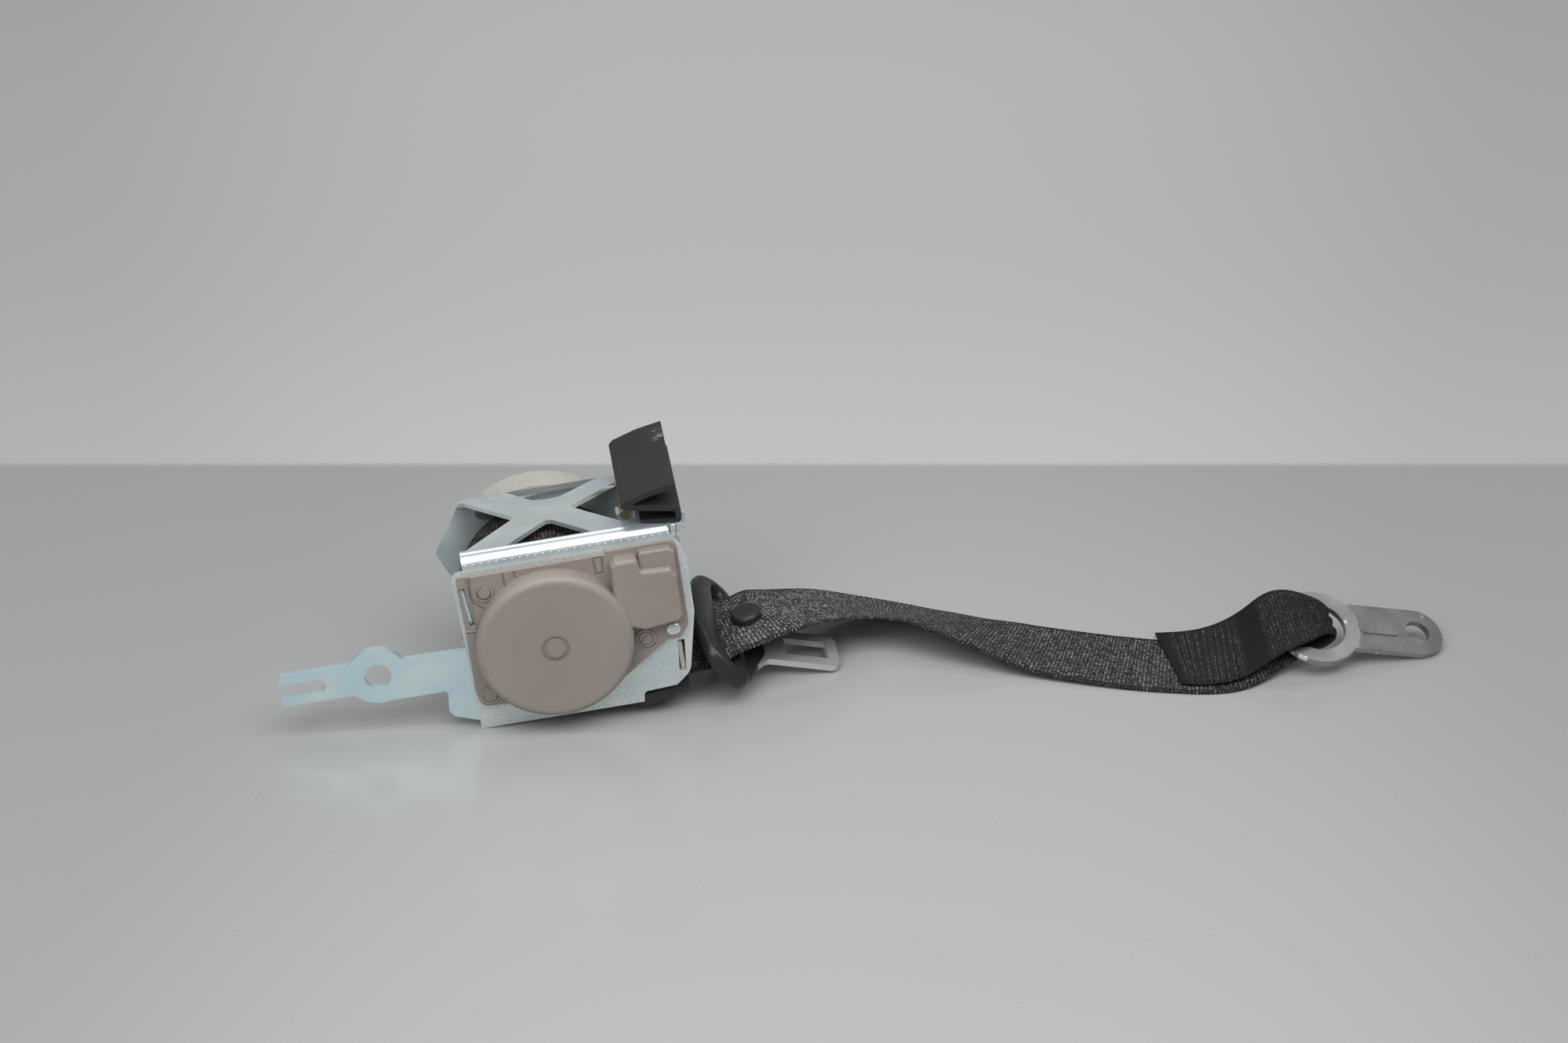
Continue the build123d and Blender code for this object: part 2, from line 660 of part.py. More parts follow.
def belt_path():
    """The webbing's way off the roll, through the tongue and along the floor, as
    x, y, z, roll and width; a sixth value sets the heading of a section by hand."""
    middle = (wound_front + wound_back) / 2
    exit_x, exit_z = roll_exit(72.0, 12.1)
    full = web_width
    return [
        (exit_x, middle, exit_z, 0, full), (72.0, middle, 12.1, 0, full),
        (85.0, 32.6, 15.2, 1.5, full), (95.0, 34.0, 17.3, 2.5, full), (103.6, 35.2, 19.2, 4, full),
        (slot_centre.X, slot_centre.Y, slot_centre.Z, 5, full), (115.0, 36.9, 23.8, 2, full, 12),
        (129.5, 39.9, 27.2, 2, full, 12), (140.0, 46.4, 25.5, -5, full), (149.0, 52.6, 22.9, -6, full),
        (158.0, 58.5, 19.8, -7, full), (167.0, 63.0, 16.7, -10, full), (176.0, 65.5, 13.7, -14, full),
        (186.0, 65.7, 11.4, -18, full), (196.0, 63.4, 10.1, -20, full), (205.0, 59.5, 9.6, -20.7, full),
        (214.0, 54.9, 8.9, -19, full), (223.0, 49.8, 7.6, -16, full), (232.5, 45.2, 6.2, -12.5, full),
        (242.0, 41.0, 4.5, -8, full), (251.0, 37.0, 2.8, -4.5, full), (260.0, 33.2, 1.9, -2.5, full),
        (280.0, 25.2, 1.2, -1, full), (299.0, 18.6, 0.8, 0, full), (318.0, 13.6, 0.8, 0, full),
    ]


def fold_path():
    """The folded end, as x, y, z, roll, width and heading."""
    full = web_width
    return [
        (330.0, 11.8, 1.4, 2, full, -8), (342.0, 11.6, 4.2, 8, 43.0, -1), (352.0, 12.0, 7.4, 15, 34.0, 4),
        (360.0, 13.0, 10.2, 22, 28.0, 6.2), (369.0, 13.8, 12.6, 24.8, 23.0, 6.2),
        (377.0, 14.6, 13.9, 24.8, 19.5, 6.2), (383.0, 14.8, 15.6, 24.8, 18.0, 6.2),
        (385.5, 14.8, 18.4, 24.8, 17.5, 6.2), (383.5, 14.4, 21.2, 24.8, 18.5, 6.2),
        (378.0, 14.0, 23.0, 24.8, 23.0, 6.2), (371.0, 13.6, 23.4, 24.8, 29.0, 6.2),
        (364.0, 13.4, 22.5, 23, 33.0, 5), (357.0, 13.6, 19.2, 19, 36.0, 2),
        (350.8, 14.0, 14.2, 15, 39.0, -2), (343.0, 15.0, 8.6, 9, 44.0, -6),
        (333.6, 16.0, 4.9, 4, full, -8), (322.0, 17.6, 3.0, 1, full, -5), (312.8, 19.5, 2.4, 0, full, 2.4),
    ]


def belt_sections():
    """The webbing's cross-section at every station, as four corners each."""
    way = belt_path() + fold_path()
    centres = [Vector(*station[:3]) for station in way]
    corners = []
    for k, station in enumerate(way):
        centre, (roll, width) = centres[k], station[3:5]
        along = (centres[min(k + 1, len(way) - 1)] - centres[max(k - 1, 0)]).normalized()
        heading = station[5] if len(station) > 5 else degrees(atan2(along.Y, along.X))
        h, r = radians(heading), radians(roll)
        across = Vector(-sin(h) * cos(r), cos(h) * cos(r), sin(r))
        side = across * (width / 2)
        face = along.cross(across).normalized() * (web_thick / 2)
        corners.append([centre - side - face, centre + side - face,
                        centre + side + face, centre - side + face])
    return corners


def strip(sections):
    """A closed solid through four-cornered sections, skinned with flat triangles."""
    a, b, c, d = sections[0]
    faces = [triangle(a, c, b), triangle(a, d, c)]
    a, b, c, d = sections[-1]
    faces += [triangle(a, b, c), triangle(a, c, d)]
    for here, there in zip(sections, sections[1:]):
        for a, b in ((0, 1), (1, 2)):
            faces.append(triangle(here[a], here[b], there[b]))
            faces.append(triangle(here[a], there[b], there[a]))
        for a, b in ((2, 3), (3, 0)):
            faces.append(triangle(here[a], here[b], there[a]))
            faces.append(triangle(here[b], there[b], there[a]))
    return Solid(Shell(faces))


def triangle(a, b, c):
    return Face(Wire.make_polygon([a, b, c]))


def webbing():
    body = strip(belt_sections()[:len(belt_path())])
    return body - button_plane().location * Cylinder(button_stem + running_gap, 12)


def webbing_loop():
    return strip(belt_sections()[len(belt_path()) - 1:])


def tilted_plane(origin, heading, slope, roll):
    """A plane whose x runs along a heading and down a slope, rolled about itself."""
    h, s, r = radians(heading), radians(slope), radians(roll)
    along = Vector(cos(h) * cos(s), sin(h) * cos(s), -sin(s))
    level = Vector(-sin(h), cos(h), 0)
    upright = along.cross(level)
    across = level * cos(r) + upright * sin(r)
    return Plane(origin=origin, x_dir=along, z_dir=along.cross(across))


tip_plane = tilted_plane(tongue_tip, tongue_heading, tongue_slope, tongue_roll)
blade_plane = Plane(origin=Vector(*tongue_tip) - tip_plane.x_dir * blade_length,
                    x_dir=tip_plane.x_dir, z_dir=tip_plane.z_dir)
loop_dir = tip_plane.z_dir * sin(radians(bend_angle)) - tip_plane.x_dir * cos(radians(bend_angle))
loop_plane = Plane(origin=blade_plane.origin, x_dir=loop_dir,
                   z_dir=loop_dir.cross(tip_plane.y_dir))
slot_centre = blade_plane.origin + loop_dir * (slot_offset + slot_gap / 2)
fold_plane = tilted_plane(anchor_fold, anchor_heading, anchor_slope, anchor_roll)
anchor_plane = Plane(origin=fold_plane.origin + fold_plane.x_dir * anchor_arm_length,
                     x_dir=fold_plane.x_dir, z_dir=fold_plane.z_dir)


def bent_plane(plane, x, angle):
    """The plane past a bend: x back along the first one, turned about its y."""
    origin = plane.origin - plane.x_dir * x
    along = plane.x_dir * cos(radians(angle)) + plane.z_dir * sin(radians(angle))
    return Plane(origin=origin, x_dir=along, z_dir=along.cross(plane.y_dir))


anchor_ring_plane = bent_plane(anchor_plane, anchor_arm_length, anchor_bend)


def button_plane():
    """The webbing's own plane halfway along the flat stretch that holds the button."""
    stations = belt_sections()
    near, far = stations[6], stations[7]
    centre = sum(near + far, Vector()) / 8
    along = (sum(far, Vector()) / 4 - sum(near, Vector()) / 4).normalized()
    across = (near[1] - near[0] + far[1] - far[0]).normalized()
    return Plane(origin=centre, x_dir=along, z_dir=along.cross(across))


def sheet(plane, outline, low, high):
    """A plate on a tilted plane, from one height over it to another."""
    face = Plane.XY.offset(low) * outline
    return plane.location * extrude(face, amount=high - low, dir=(0, 0, 1))


def both_sides(points):
    """An outline that is mirrored about its x line."""
    return points + [(x, -y) for x, y in reversed(points)]


def tongue_steel_solid():
    """The bent steel plate: blade with its latch window, and the slotted loop."""
    half = blade_width / 2
    side = slot_length / 2 + loop_side
    blade = shape(both_sides([(-1.0, side - 7), (3.0, side - 8), (13.0, half), (blade_length, half)]),
                  [(2, 6), (5, 6), (3, 4), (4, 4)])
    window_end = blade_length - latch_land
    window = Pos(window_end - latch_window_length / 2, 0) * RectangleRounded(
        latch_window_length, latch_window_width, 1.2)
    blade_solid = sheet(blade_plane, blade - window, -tongue_steel, 0)
    reach = slot_offset + slot_gap + bar_height - 3
    loop = shape(both_sides([(-1.0, side - 7), (4.0, side), (slot_offset + slot_gap, side),
                             (reach, side - 11)]))
    slot = Pos(slot_offset + slot_gap / 2, 0) * RectangleRounded(slot_gap + 1.6, slot_length + 2, 2)
    loop_solid = sheet(loop_plane, loop - slot, 0, tongue_steel)
    return blade_solid + loop_solid


def tongue_grip_solid():
    """The moulded grip round the loop and the root of the blade."""
    half = slot_length / 2 + grip_side
    reach = slot_offset + slot_gap + bar_height
    loop = shape(both_sides([(-3.0, half - 3.5), (1.0, half), (slot_offset + slot_gap, half - 1),
                             (reach - 4, half - 6.5), (reach, half - 13)]),
                 [(0, 3), (1, 3), (2, 6), (3, 4), (4, 4), (5, 4), (6, 4), (7, 6), (8, 3), (9, 3)])
    slot = Pos(slot_offset + slot_gap / 2, 0) * RectangleRounded(slot_gap, slot_length, 2.4)
    raised = (grip_thick - tongue_steel) / 2
    grip = sheet(loop_plane, loop - slot, -raised, grip_thick - raised)
    root = shape(both_sides([(-4.0, half - 4), (2.0, half - 3), (9.5, blade_width / 2 + 3.5),
                             (11.5, blade_width / 2 - 2)]), [(1, 3), (6, 3)])
    return grip + sheet(blade_plane, root, raised - grip_thick, raised)


def tongue_plate():
    return tongue_steel_solid()


def tongue_grip():
    return tongue_grip_solid() - tongue_steel_solid()


def button_cap():
    """Half of the stop button: a domed disc that lies on the webbing."""
    rest = web_thick / 2 + 0.15
    cap = Pos(0, 0, rest + button_height / 2) * Cylinder(button_radius, button_height)
    return fillet(cap.edges().group_by(Axis.Z)[-1], 1.8)


def stop_button():
    return button_plane().location * (button_cap() + Cylinder(button_stem, 2 * web_thick))


def stop_button_back():
    cap = Rot(180, 0, 0) * button_cap()
    return button_plane().location * (cap - Cylinder(button_stem + running_gap, 2 * web_thick + 0.1))


def anchor_plate():
    """The floor anchor: a bolt eye, a ribbed shank and a webbing ring past a bend."""
    half = anchor_width / 2
    eye = Circle(half)
    shank = Pos(-anchor_arm_length / 2 - 0.15, 0) * Rectangle(anchor_arm_length + 0.3, anchor_width)
    arm = sheet(anchor_plane, eye + shank - Circle(bolt_hole_radius), -anchor_steel, 0)
    rib = Pos(-anchor_arm_length + 12.0, 0) * RectangleRounded(21.0, 7.4, 3.6)
    rib = sheet(anchor_plane, rib, -0.5, 0.9)
    ring = Pos(-ring_centre, 0) * Circle(ring_outer)
    ring += Pos(-ring_centre / 2 + 0.15, 0) * Rectangle(ring_centre + 0.3, anchor_width)
    ring &= Pos(ring_outer - ring_back, 0) * Rectangle(2 * ring_outer, 3 * ring_outer)
    hole = Pos(-ring_centre, 0) * Circle(ring_hole)
    reach = ring_back - ring_bar
    hole += Pos(-(ring_centre + reach) / 2, 0) * Rectangle(reach - ring_centre, 2 * ring_hole - 3)
    ring = sheet(anchor_ring_plane, ring - hole, -anchor_steel, 0)
    return arm + ring + rib


def anchor_sleeve():
    """The black plastic sleeve that keeps the webbing off the ring's edge."""
    bar_x = ring_bar / 2 - ring_back
    outer = RectangleRounded(ring_bar + 2 * sleeve_wall, anchor_steel + 2 * sleeve_wall, 2.0)
    section = outer - Rectangle(ring_bar, anchor_steel)
    across = Plane(origin=anchor_ring_plane.location.position, x_dir=anchor_ring_plane.x_dir,
                   z_dir=anchor_ring_plane.y_dir)
    half = 9.0
    place = across * Pos(bar_x, anchor_steel / 2, -half)
    return place * extrude(section, amount=2 * half, dir=(0, 0, 1))


retractor_nodes = [
    frame, mounting_arm, arm_rivets, front_bush, back_bush, spool, torsion_bar, ratchet_wheel,
    lock_gear, webbing_roll, spring_arbor, main_spring, spring_cover, cover_clips,
    mechanism_cover, mechanism_clips, sensor_housing, sensor_pin, sensor_lever, sensor_ball,
    lock_pawl, pawl_pivot, lip_pin, trim_lip, exit_guide,
]
floor_nodes = [
    webbing, webbing_loop, tongue_plate, tongue_grip, stop_button, stop_button_back,
    anchor_plate, anchor_sleeve,
]

made = {make.__name__: seat * make() for make in retractor_nodes}
made.update({make.__name__: make() for make in floor_nodes})
boxes = [solid.bounding_box() for solid in made.values()]
low = [min(tuple(box.min)[k] for box in boxes) for k in range(3)]
high = [max(tuple(box.max)[k] for box in boxes) for k in range(3)]
home = Pos(-(low[0] + high[0]) / 2, -(low[1] + high[1]) / 2, -low[2])
for name, solid in made.items():
    export_step(home * solid, f"parts/{name}.step")
print("size", [round(high[k] - low[k], 2) for k in range(3)], "home", home.position)
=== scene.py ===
# %% [markdown]
# # A car seat belt: retractor, webbing, tongue and floor anchor
#
# The hard parts come from the CAD model as they are. This script gives them their
# finishes, and makes again what a solid modeller draws too plainly: the woven webbing,
# its wound roll, the sewn end and the soft-edged grip of the tongue.

import math

import bpy
import numpy as np
from mathutils import Matrix


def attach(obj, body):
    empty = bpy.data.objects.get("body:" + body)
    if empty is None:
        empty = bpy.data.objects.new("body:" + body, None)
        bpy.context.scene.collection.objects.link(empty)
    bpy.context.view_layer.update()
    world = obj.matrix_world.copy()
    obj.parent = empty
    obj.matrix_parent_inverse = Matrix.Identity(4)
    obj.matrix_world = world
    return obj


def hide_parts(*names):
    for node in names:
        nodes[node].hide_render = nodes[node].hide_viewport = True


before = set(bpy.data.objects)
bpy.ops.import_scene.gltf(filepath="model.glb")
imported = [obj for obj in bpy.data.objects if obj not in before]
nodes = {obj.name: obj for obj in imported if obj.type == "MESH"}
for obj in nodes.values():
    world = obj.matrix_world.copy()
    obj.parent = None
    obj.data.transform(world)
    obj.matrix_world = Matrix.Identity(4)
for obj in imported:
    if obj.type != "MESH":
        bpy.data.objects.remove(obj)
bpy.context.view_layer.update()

# Points below are in millimetres from the retractor's lower left front corner, as in the
# CAD model's source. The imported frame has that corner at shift, and the retractor leans
# back by tilt.
shift = np.array([-176.462, -38.0679, 0.014035])
tilt = math.radians(6.7)

# %% [markdown]
# ## Camera
#
# The photograph was taken from above and a little to the left, with a long lens. A
# camera is a turned frame of three directions: right, up, and backwards. Writing them
# as the columns of a matrix is steadier than three angles in a row. The Standard view
# transform then shows every colour as it is written.

# %% Place the camera
heading, pitch = math.radians(7.2), math.radians(27.5)
ahead = np.array([math.sin(heading) * math.cos(pitch), math.cos(heading) * math.cos(pitch),
                  -math.sin(pitch)])
sideways = np.array([math.cos(heading), -math.sin(heading), 0.0])
upwards = np.cross(sideways, ahead)
eye = np.array([-0.215862, -1.411968, 0.815014])

lens = bpy.data.cameras.new("camera")
lens.lens, lens.sensor_width = 82.8, 36.0
lens.clip_start, lens.clip_end = 0.05, 30.0
camera = bpy.data.objects.new("camera", lens)
bpy.context.scene.collection.objects.link(camera)


def placing(right, up, back, at):
    """The matrix whose columns are three directions and a place."""
    matrix = np.eye(4)
    matrix[:3] = np.stack([right, up, back, at], 1)
    return Matrix(matrix.tolist())


camera.matrix_world = placing(sideways, upwards, -ahead, eye)
bpy.context.scene.camera = camera
bpy.context.scene.view_settings.view_transform = "Standard"
print("camera at", eye, "looking along", np.round(ahead, 3))

# %% [markdown]
# ## Light
#
# A long lamp above the front gives the rolled steel edge its bright streak: the bend
# mirrors it along its whole length, and a highlight painted along the bend adds to it.
# A broad lamp behind and a weak one at the left open the shadows, and an even grey
# world does the rest. Together they light a surface at about the strength its colour
# is written.

# %% Hang the lamps and set the world
def soft_lamp(name, at, towards, size, watts, tint=(1, 1, 1)):
    """An oblong area lamp at one point that faces another."""
    data = bpy.data.lights.new(name, "AREA")
    data.shape, data.size, data.size_y = "RECTANGLE", size[0], size[1]
    data.energy, data.color = watts, tint
    lamp = bpy.data.objects.new(name, data)
    back = np.subtract(at, towards) / np.linalg.norm(np.subtract(at, towards))
    across = np.cross([0.0, 1.0, 0.02], back)
    across /= np.linalg.norm(across)
    lamp.matrix_world = placing(across, np.cross(back, across), back, at)
    bpy.context.scene.collection.objects.link(lamp)


soft_lamp("tube", (0.05, -0.62, 1.30), (0, 0, 0.05), (1.9, 1.05), 25.0, (0.97, 0.97, 1.0))
soft_lamp("ceiling", (-0.3, 0.75, 1.6), (0, 0, 0), (1.2, 0.5), 4.0)
soft_lamp("front", (-0.8, -1.1, 0.9), (0, 0, 0.03), (0.7, 0.7), 7.0, (1.0, 0.99, 0.97))

world = bpy.data.worlds.new("room")
bpy.context.scene.world = world
world.use_nodes = True
room = world.node_tree
sky = room.nodes["Background"]
place = room.nodes.new("ShaderNodeTexCoord")
split = room.nodes.new("ShaderNodeSeparateXYZ")
tone = room.nodes.new("ShaderNodeValToRGB")
# From straight below to straight up: a dim strip over the horizon keeps the steel crisp.
tone.color_ramp.elements[0].color = (0.36, 0.37, 0.37, 1)
tone.color_ramp.elements[1].color = (0.80, 0.82, 0.83, 1)
for position, level in ((0.40, 0.56), (0.66, 0.34), (0.80, 0.55)):
    tone.color_ramp.elements.new(position).color = (level * 0.97, level, level * 1.02, 1)
room.links.new(place.outputs["Generated"], split.inputs[0])
room.links.new(split.outputs["Z"], tone.inputs["Fac"])
room.links.new(tone.outputs["Color"], sky.inputs["Color"])
sky.inputs["Strength"].default_value = 0.60
print("three soft lamps and a grey room")

# %% [markdown]
# ## Writing shader maths as Python
#
# A finish is a network of nodes. `Signal` wraps one number in that network, and its
# plus, minus, times and divide add the Math nodes, so that a weave can be written as
# a formula. `Finish` is one material, with one method that adds any node.

# %% Signals and finishes
class Signal:
    """One number in a material's network; an operator on it adds a Math node."""

    def __init__(self, finish, socket):
        self.finish, self.socket = finish, socket

    def __add__(self, other):
        return self.finish.math("ADD", self, other)

    def __sub__(self, other):
        return self.finish.math("SUBTRACT", self, other)

    def __rsub__(self, other):
        return self.finish.math("SUBTRACT", other, self)

    def __mul__(self, other):
        return self.finish.math("MULTIPLY", self, other)

    def __truediv__(self, other):
        return self.finish.math("DIVIDE", self, other)

    def __rtruediv__(self, other):
        return self.finish.math("DIVIDE", other, self)

    __radd__, __rmul__ = __add__, __mul__


class Finish:
    """One material: a Principled shader and the nodes that vary it."""

    def __init__(self, name, colour, roughness, metallic=0.0, **fixed):
        self.material = bpy.data.materials.new(name)
        self.material.use_nodes = True
        self.tree = self.material.node_tree
        self.shader = self.tree.nodes["Principled BSDF"]
        self.set("Base Color", (*colour, 1))
        self.set("Roughness", roughness)
        self.set("Metallic", metallic)
        for key, value in fixed.items():
            self.set(key.replace("_", " "), value)

    def set(self, socket, value):
        """Gives an input of the main shader a value, or links a signal or socket to it."""
        self.feed(self.shader.inputs[socket], value)

    def feed(self, socket, value):
        value = value.socket if isinstance(value, Signal) else value
        if isinstance(value, bpy.types.NodeSocket):
            self.tree.links.new(value, socket)
        else:
            socket.default_value = value

    def node(self, kind, settings=None, inputs=None):
        """Adds a node of a type, makes its settings, then fills its inputs."""
        node = self.tree.nodes.new(kind)
        for key, value in (settings or {}).items():
            setattr(node, key, value)
        for key, value in (inputs or {}).items():
            self.feed(node.inputs[key], value)
        return node

    def math(self, operation, *values):
        node = self.node("ShaderNodeMath", {"operation": operation}, dict(enumerate(values)))
        return Signal(self, node.outputs[0])

    def surface(self, place=(0, 0, 0), turn=(0, 0, 0), scale=(1, 1, 1)):
        """The point on the object, moved, turned and stretched."""
        where = self.node("ShaderNodeTexCoord").outputs["Object"]
        node = self.node("ShaderNodeMapping", None,
                         {"Vector": where, "Location": place, "Rotation": turn, "Scale": scale})
        return node.outputs[0]

    def noise(self, where, scale, detail=2.0):
        node = self.node("ShaderNodeTexNoise", None,
                         {"Vector": where, "Scale": scale, "Detail": detail})
        return Signal(self, node.outputs[0])

    def step(self, value, low, high):
        """0 below low, 1 above high, and smooth between."""
        node = self.node("ShaderNodeMapRange", {"interpolation_type": "SMOOTHSTEP"},
                         {"Value": value, "From Min": low, "From Max": high})
        return Signal(self, node.outputs[0])

    def wave(self, value):
        return self.math("SINE", value)

    def parts(self, vector):
        node = self.node("ShaderNodeSeparateXYZ", None, {0: vector})
        return [Signal(self, out) for out in node.outputs]

    def blend(self, share, first, second):
        """A colour between two colours."""
        node = self.node("ShaderNodeMix", {"data_type": "RGBA"})
        self.feed(node.inputs[0], share)
        for socket, colour in ((node.inputs[6], first), (node.inputs[7], second)):
            self.feed(socket, (*colour, 1) if isinstance(colour, tuple) else colour)
        return node.outputs[2]

    def relief(self, height, depth):
        """Lets a height, 0 to 1, tilt the surface as if it were depth metres deep."""
        bump = self.node("ShaderNodeBump", None,
                         {"Height": height, "Distance": depth, "Strength": 1.0})
        self.set("Normal", bump.outputs[0])


def wear(finish, node_names):
    """Puts a finish on every material slot of some CAD parts."""
    for name in node_names:
        mesh = nodes[name].data
        if not mesh.materials:
            mesh.materials.append(finish.material)
        for k in range(len(mesh.materials)):
            mesh.materials[k] = finish.material


print("Signal and Finish are ready")

# %% [markdown]
# ## Floor
#
# The belt lies on a pale glossy table in front of a pale wall. A wall would stand in
# the way of every view from behind, so it is painted: beyond a line across the floor
# the tone turns to that of the wall. Painted light brightens the table in front of the
# camera, painted shade darkens the wall towards its corners, and a painted highlight
# brightens the middle of the wall further back. A few specks of dust lie on the table.

# %% Lay the floor
floor_mesh = bpy.data.meshes.new("floor")
half = 6
floor_mesh.from_pydata([(-half, -half, 0), (half, -half, 0), (half, half, 0), (-half, half, 0)],
                       [], [(0, 1, 2, 3)])
floor = bpy.data.objects.new("floor", floor_mesh)
bpy.context.scene.collection.objects.link(floor)
table = Finish("table", (0.43, 0.44, 0.43), 0.32)
across, along, _ = table.parts(table.surface(turn=(0, 0, heading)))
wall_starts, painted_pool_middle = 0.2, -0.45
seam = table.step(along, wall_starts - 0.004, wall_starts + 0.004)
forward = along - painted_pool_middle
# Painted light: the table is painted brighter in front of the camera and darker further out.
painted_light_pool = table.step(across * across * 14.0 + forward * forward * 2.0, 0.0, 1.75)
mottle = table.noise(table.surface(), 3.0)
# The first tone is the painted lit middle, the second the darker table round it.
base = table.blend(painted_light_pool, (0.360, 0.366, 0.357), (0.284, 0.291, 0.284))
base = table.blend(mottle * 0.2, base, (0.34, 0.347, 0.34))
# Painted shade: the wall darkens towards its corners, in a fan laid out from the camera's place on
# the floor.
lens_across, lens_along = -0.037, -1.428
outward = (across - lens_across) / (along - lens_along)
corner = table.step(outward * outward, 0.0, 0.045)
# Painted highlight: the wall is painted brighter further back, least in its corners.
high = table.step(along, 0.35, 1.0) * (1 - corner * 0.5)
# (0.372, 0.38, 0.38) is the painted shade in the wall's corners.
wall = table.blend(corner, (0.43, 0.437, 0.43), (0.372, 0.38, 0.38))
# (0.62, 0.625, 0.61) is the tone of the painted highlight on the wall.
base = table.blend(seam, base, table.blend(high * 0.66, wall, (0.62, 0.625, 0.61)))
dust = table.noise(table.surface(), 420.0, 1.0)
speck = table.step(dust, 0.795, 0.80) * (1 - seam)
table.set("Base Color", table.blend(speck * 0.6, base, (0.15, 0.143, 0.135)))
table.set("Roughness", 0.17 + seam * 0.73)
floor_mesh.materials.append(table.material)
print("floor laid")

# %% [markdown]
# ## Steel
#
# The frame is zinc plated sheet: bluish white, a little cloudy, with fine lines from
# rolling, and rows of tiny stamped dots on its front plate. On its bend, painted shade
# darkens both edges and a painted highlight brightens the band between them. The arm
# has a bluer plating. The blade is bright, and the anchor plate dull and spotted. They
# differ in tint, roughness and what is laid on top. A picture would blur when seen
# close, so the streaks, clouds and dots are worked out from the place on the part.

# %% Plated steel
def plated(name, tint, cloud, roughness, grain=0.00004):
    """Zinc on rolled steel: clouds in the tint, stretched streaks in the roughness."""
    finish = Finish(name, tint, roughness, 1.0)
    where = finish.surface()
    streaks = finish.noise(finish.surface(scale=(1, 1, 14)), 140.0, 3.0)
    clouds = finish.step(finish.noise(where, 55.0, 4.0), 0.35, 0.7)
    specks = finish.noise(where, 1400.0, 2.0)
    finish.set("Base Color", finish.blend(clouds, tint, cloud))
    finish.set("Roughness", roughness - 0.07 + streaks * 0.12 + clouds * 0.06)
    finish.relief(specks * 0.5 + streaks * 0.5, grain)
    return finish, clouds, specks


print("plated steel can be made")

# %% The dotted frame
zinc_tone, zinc_cloud = (0.58, 0.66, 0.68), (0.70, 0.75, 0.73)
zinc, clouds, specks = plated("zinc_steel", zinc_tone, zinc_cloud, 0.19)
dx, dy, dz = zinc.parts(zinc.surface(turn=(0, tilt, 0)))
pitch_x, pitch_z = 0.0034, 0.0040
row = zinc.math("FLOOR", dz / pitch_z)
cell_x = zinc.math("FRACT", dx / pitch_x + row * 0.5) - 0.5
cell_z = zinc.math("FRACT", dz / pitch_z) - 0.5
far = cell_x * cell_x * (pitch_x * 1000) ** 2 + cell_z * cell_z * (pitch_z * 1000) ** 2
# Painted shade darkens the whole bend towards (0.30, 0.35, 0.41), and a painted highlight brightens
# a band along its middle towards (0.64, 0.70, 0.76).
bend_painted_shade = zinc.step(dz, 0.1006, 0.1016) * (1 - zinc.step(dy, -0.0340, -0.0325))
bend_painted_highlight = zinc.step(dz, 0.1024, 0.1034) * (1 - zinc.step(dz, 0.1046, 0.1054)) * bend_painted_shade
on_front = 1 - zinc.step(dy, -0.0302, -0.0298)
dots = (1 - zinc.step(far, 0.02, 0.16)) * on_front * (1 - bend_painted_shade * 0.5)
stained = zinc.step(zinc.noise(zinc.surface(), 24.0, 2.0), 0.45, 0.75)
tone = zinc.blend(stained * 0.45, zinc.blend(clouds, zinc_tone, zinc_cloud), (0.66, 0.70, 0.60))
# Painted shade on the bend.
tone = zinc.blend(bend_painted_shade * 0.5, tone, (0.30, 0.35, 0.41))
# Painted highlight along the middle of the bend.
tone = zinc.blend(bend_painted_highlight * 0.5, tone, (0.64, 0.70, 0.76))
zinc.set("Base Color", zinc.blend(dots * 0.7, tone, (0.30, 0.32, 0.33)))
zinc.set("Metallic", 0.66)
zinc.relief(specks * 0.05 - dots, 0.00010)
wear(zinc, ["frame", "arm_rivets"])
print("frame dotted every", pitch_x * 1000, "by", pitch_z * 1000, "mm")

# %% The plain steels
arm, _, _ = plated("arm_steel", (0.58, 0.76, 0.83), (0.68, 0.80, 0.80), 0.30)
arm.set("Metallic", 0.72)
wear(arm, ["mounting_arm"])

blade, _, _ = plated("blade_steel", (0.58, 0.58, 0.58), (0.62, 0.62, 0.61), 0.24, 0.00001)
blade.set("Metallic", 0.55)
wear(blade, ["tongue_plate"])

dark, _, _ = plated("dark_steel", (0.30, 0.31, 0.33), (0.38, 0.38, 0.39), 0.35)
wear(dark, ["torsion_bar", "ratchet_wheel", "lock_pawl", "pawl_pivot", "sensor_ball", "sensor_pin"])

spring, _, _ = plated("spring_steel", (0.22, 0.25, 0.32), (0.30, 0.31, 0.35), 0.3)
wear(spring, ["main_spring"])

alloy, _, _ = plated("cast_alloy", (0.45, 0.47, 0.50), (0.55, 0.56, 0.57), 0.48, 0.00008)
wear(alloy, ["spool"])

brass, _, _ = plated("yellow_zinc", (0.60, 0.56, 0.30), (0.52, 0.52, 0.36), 0.38)
wear(brass, ["lip_pin"])
print("six plain steels")

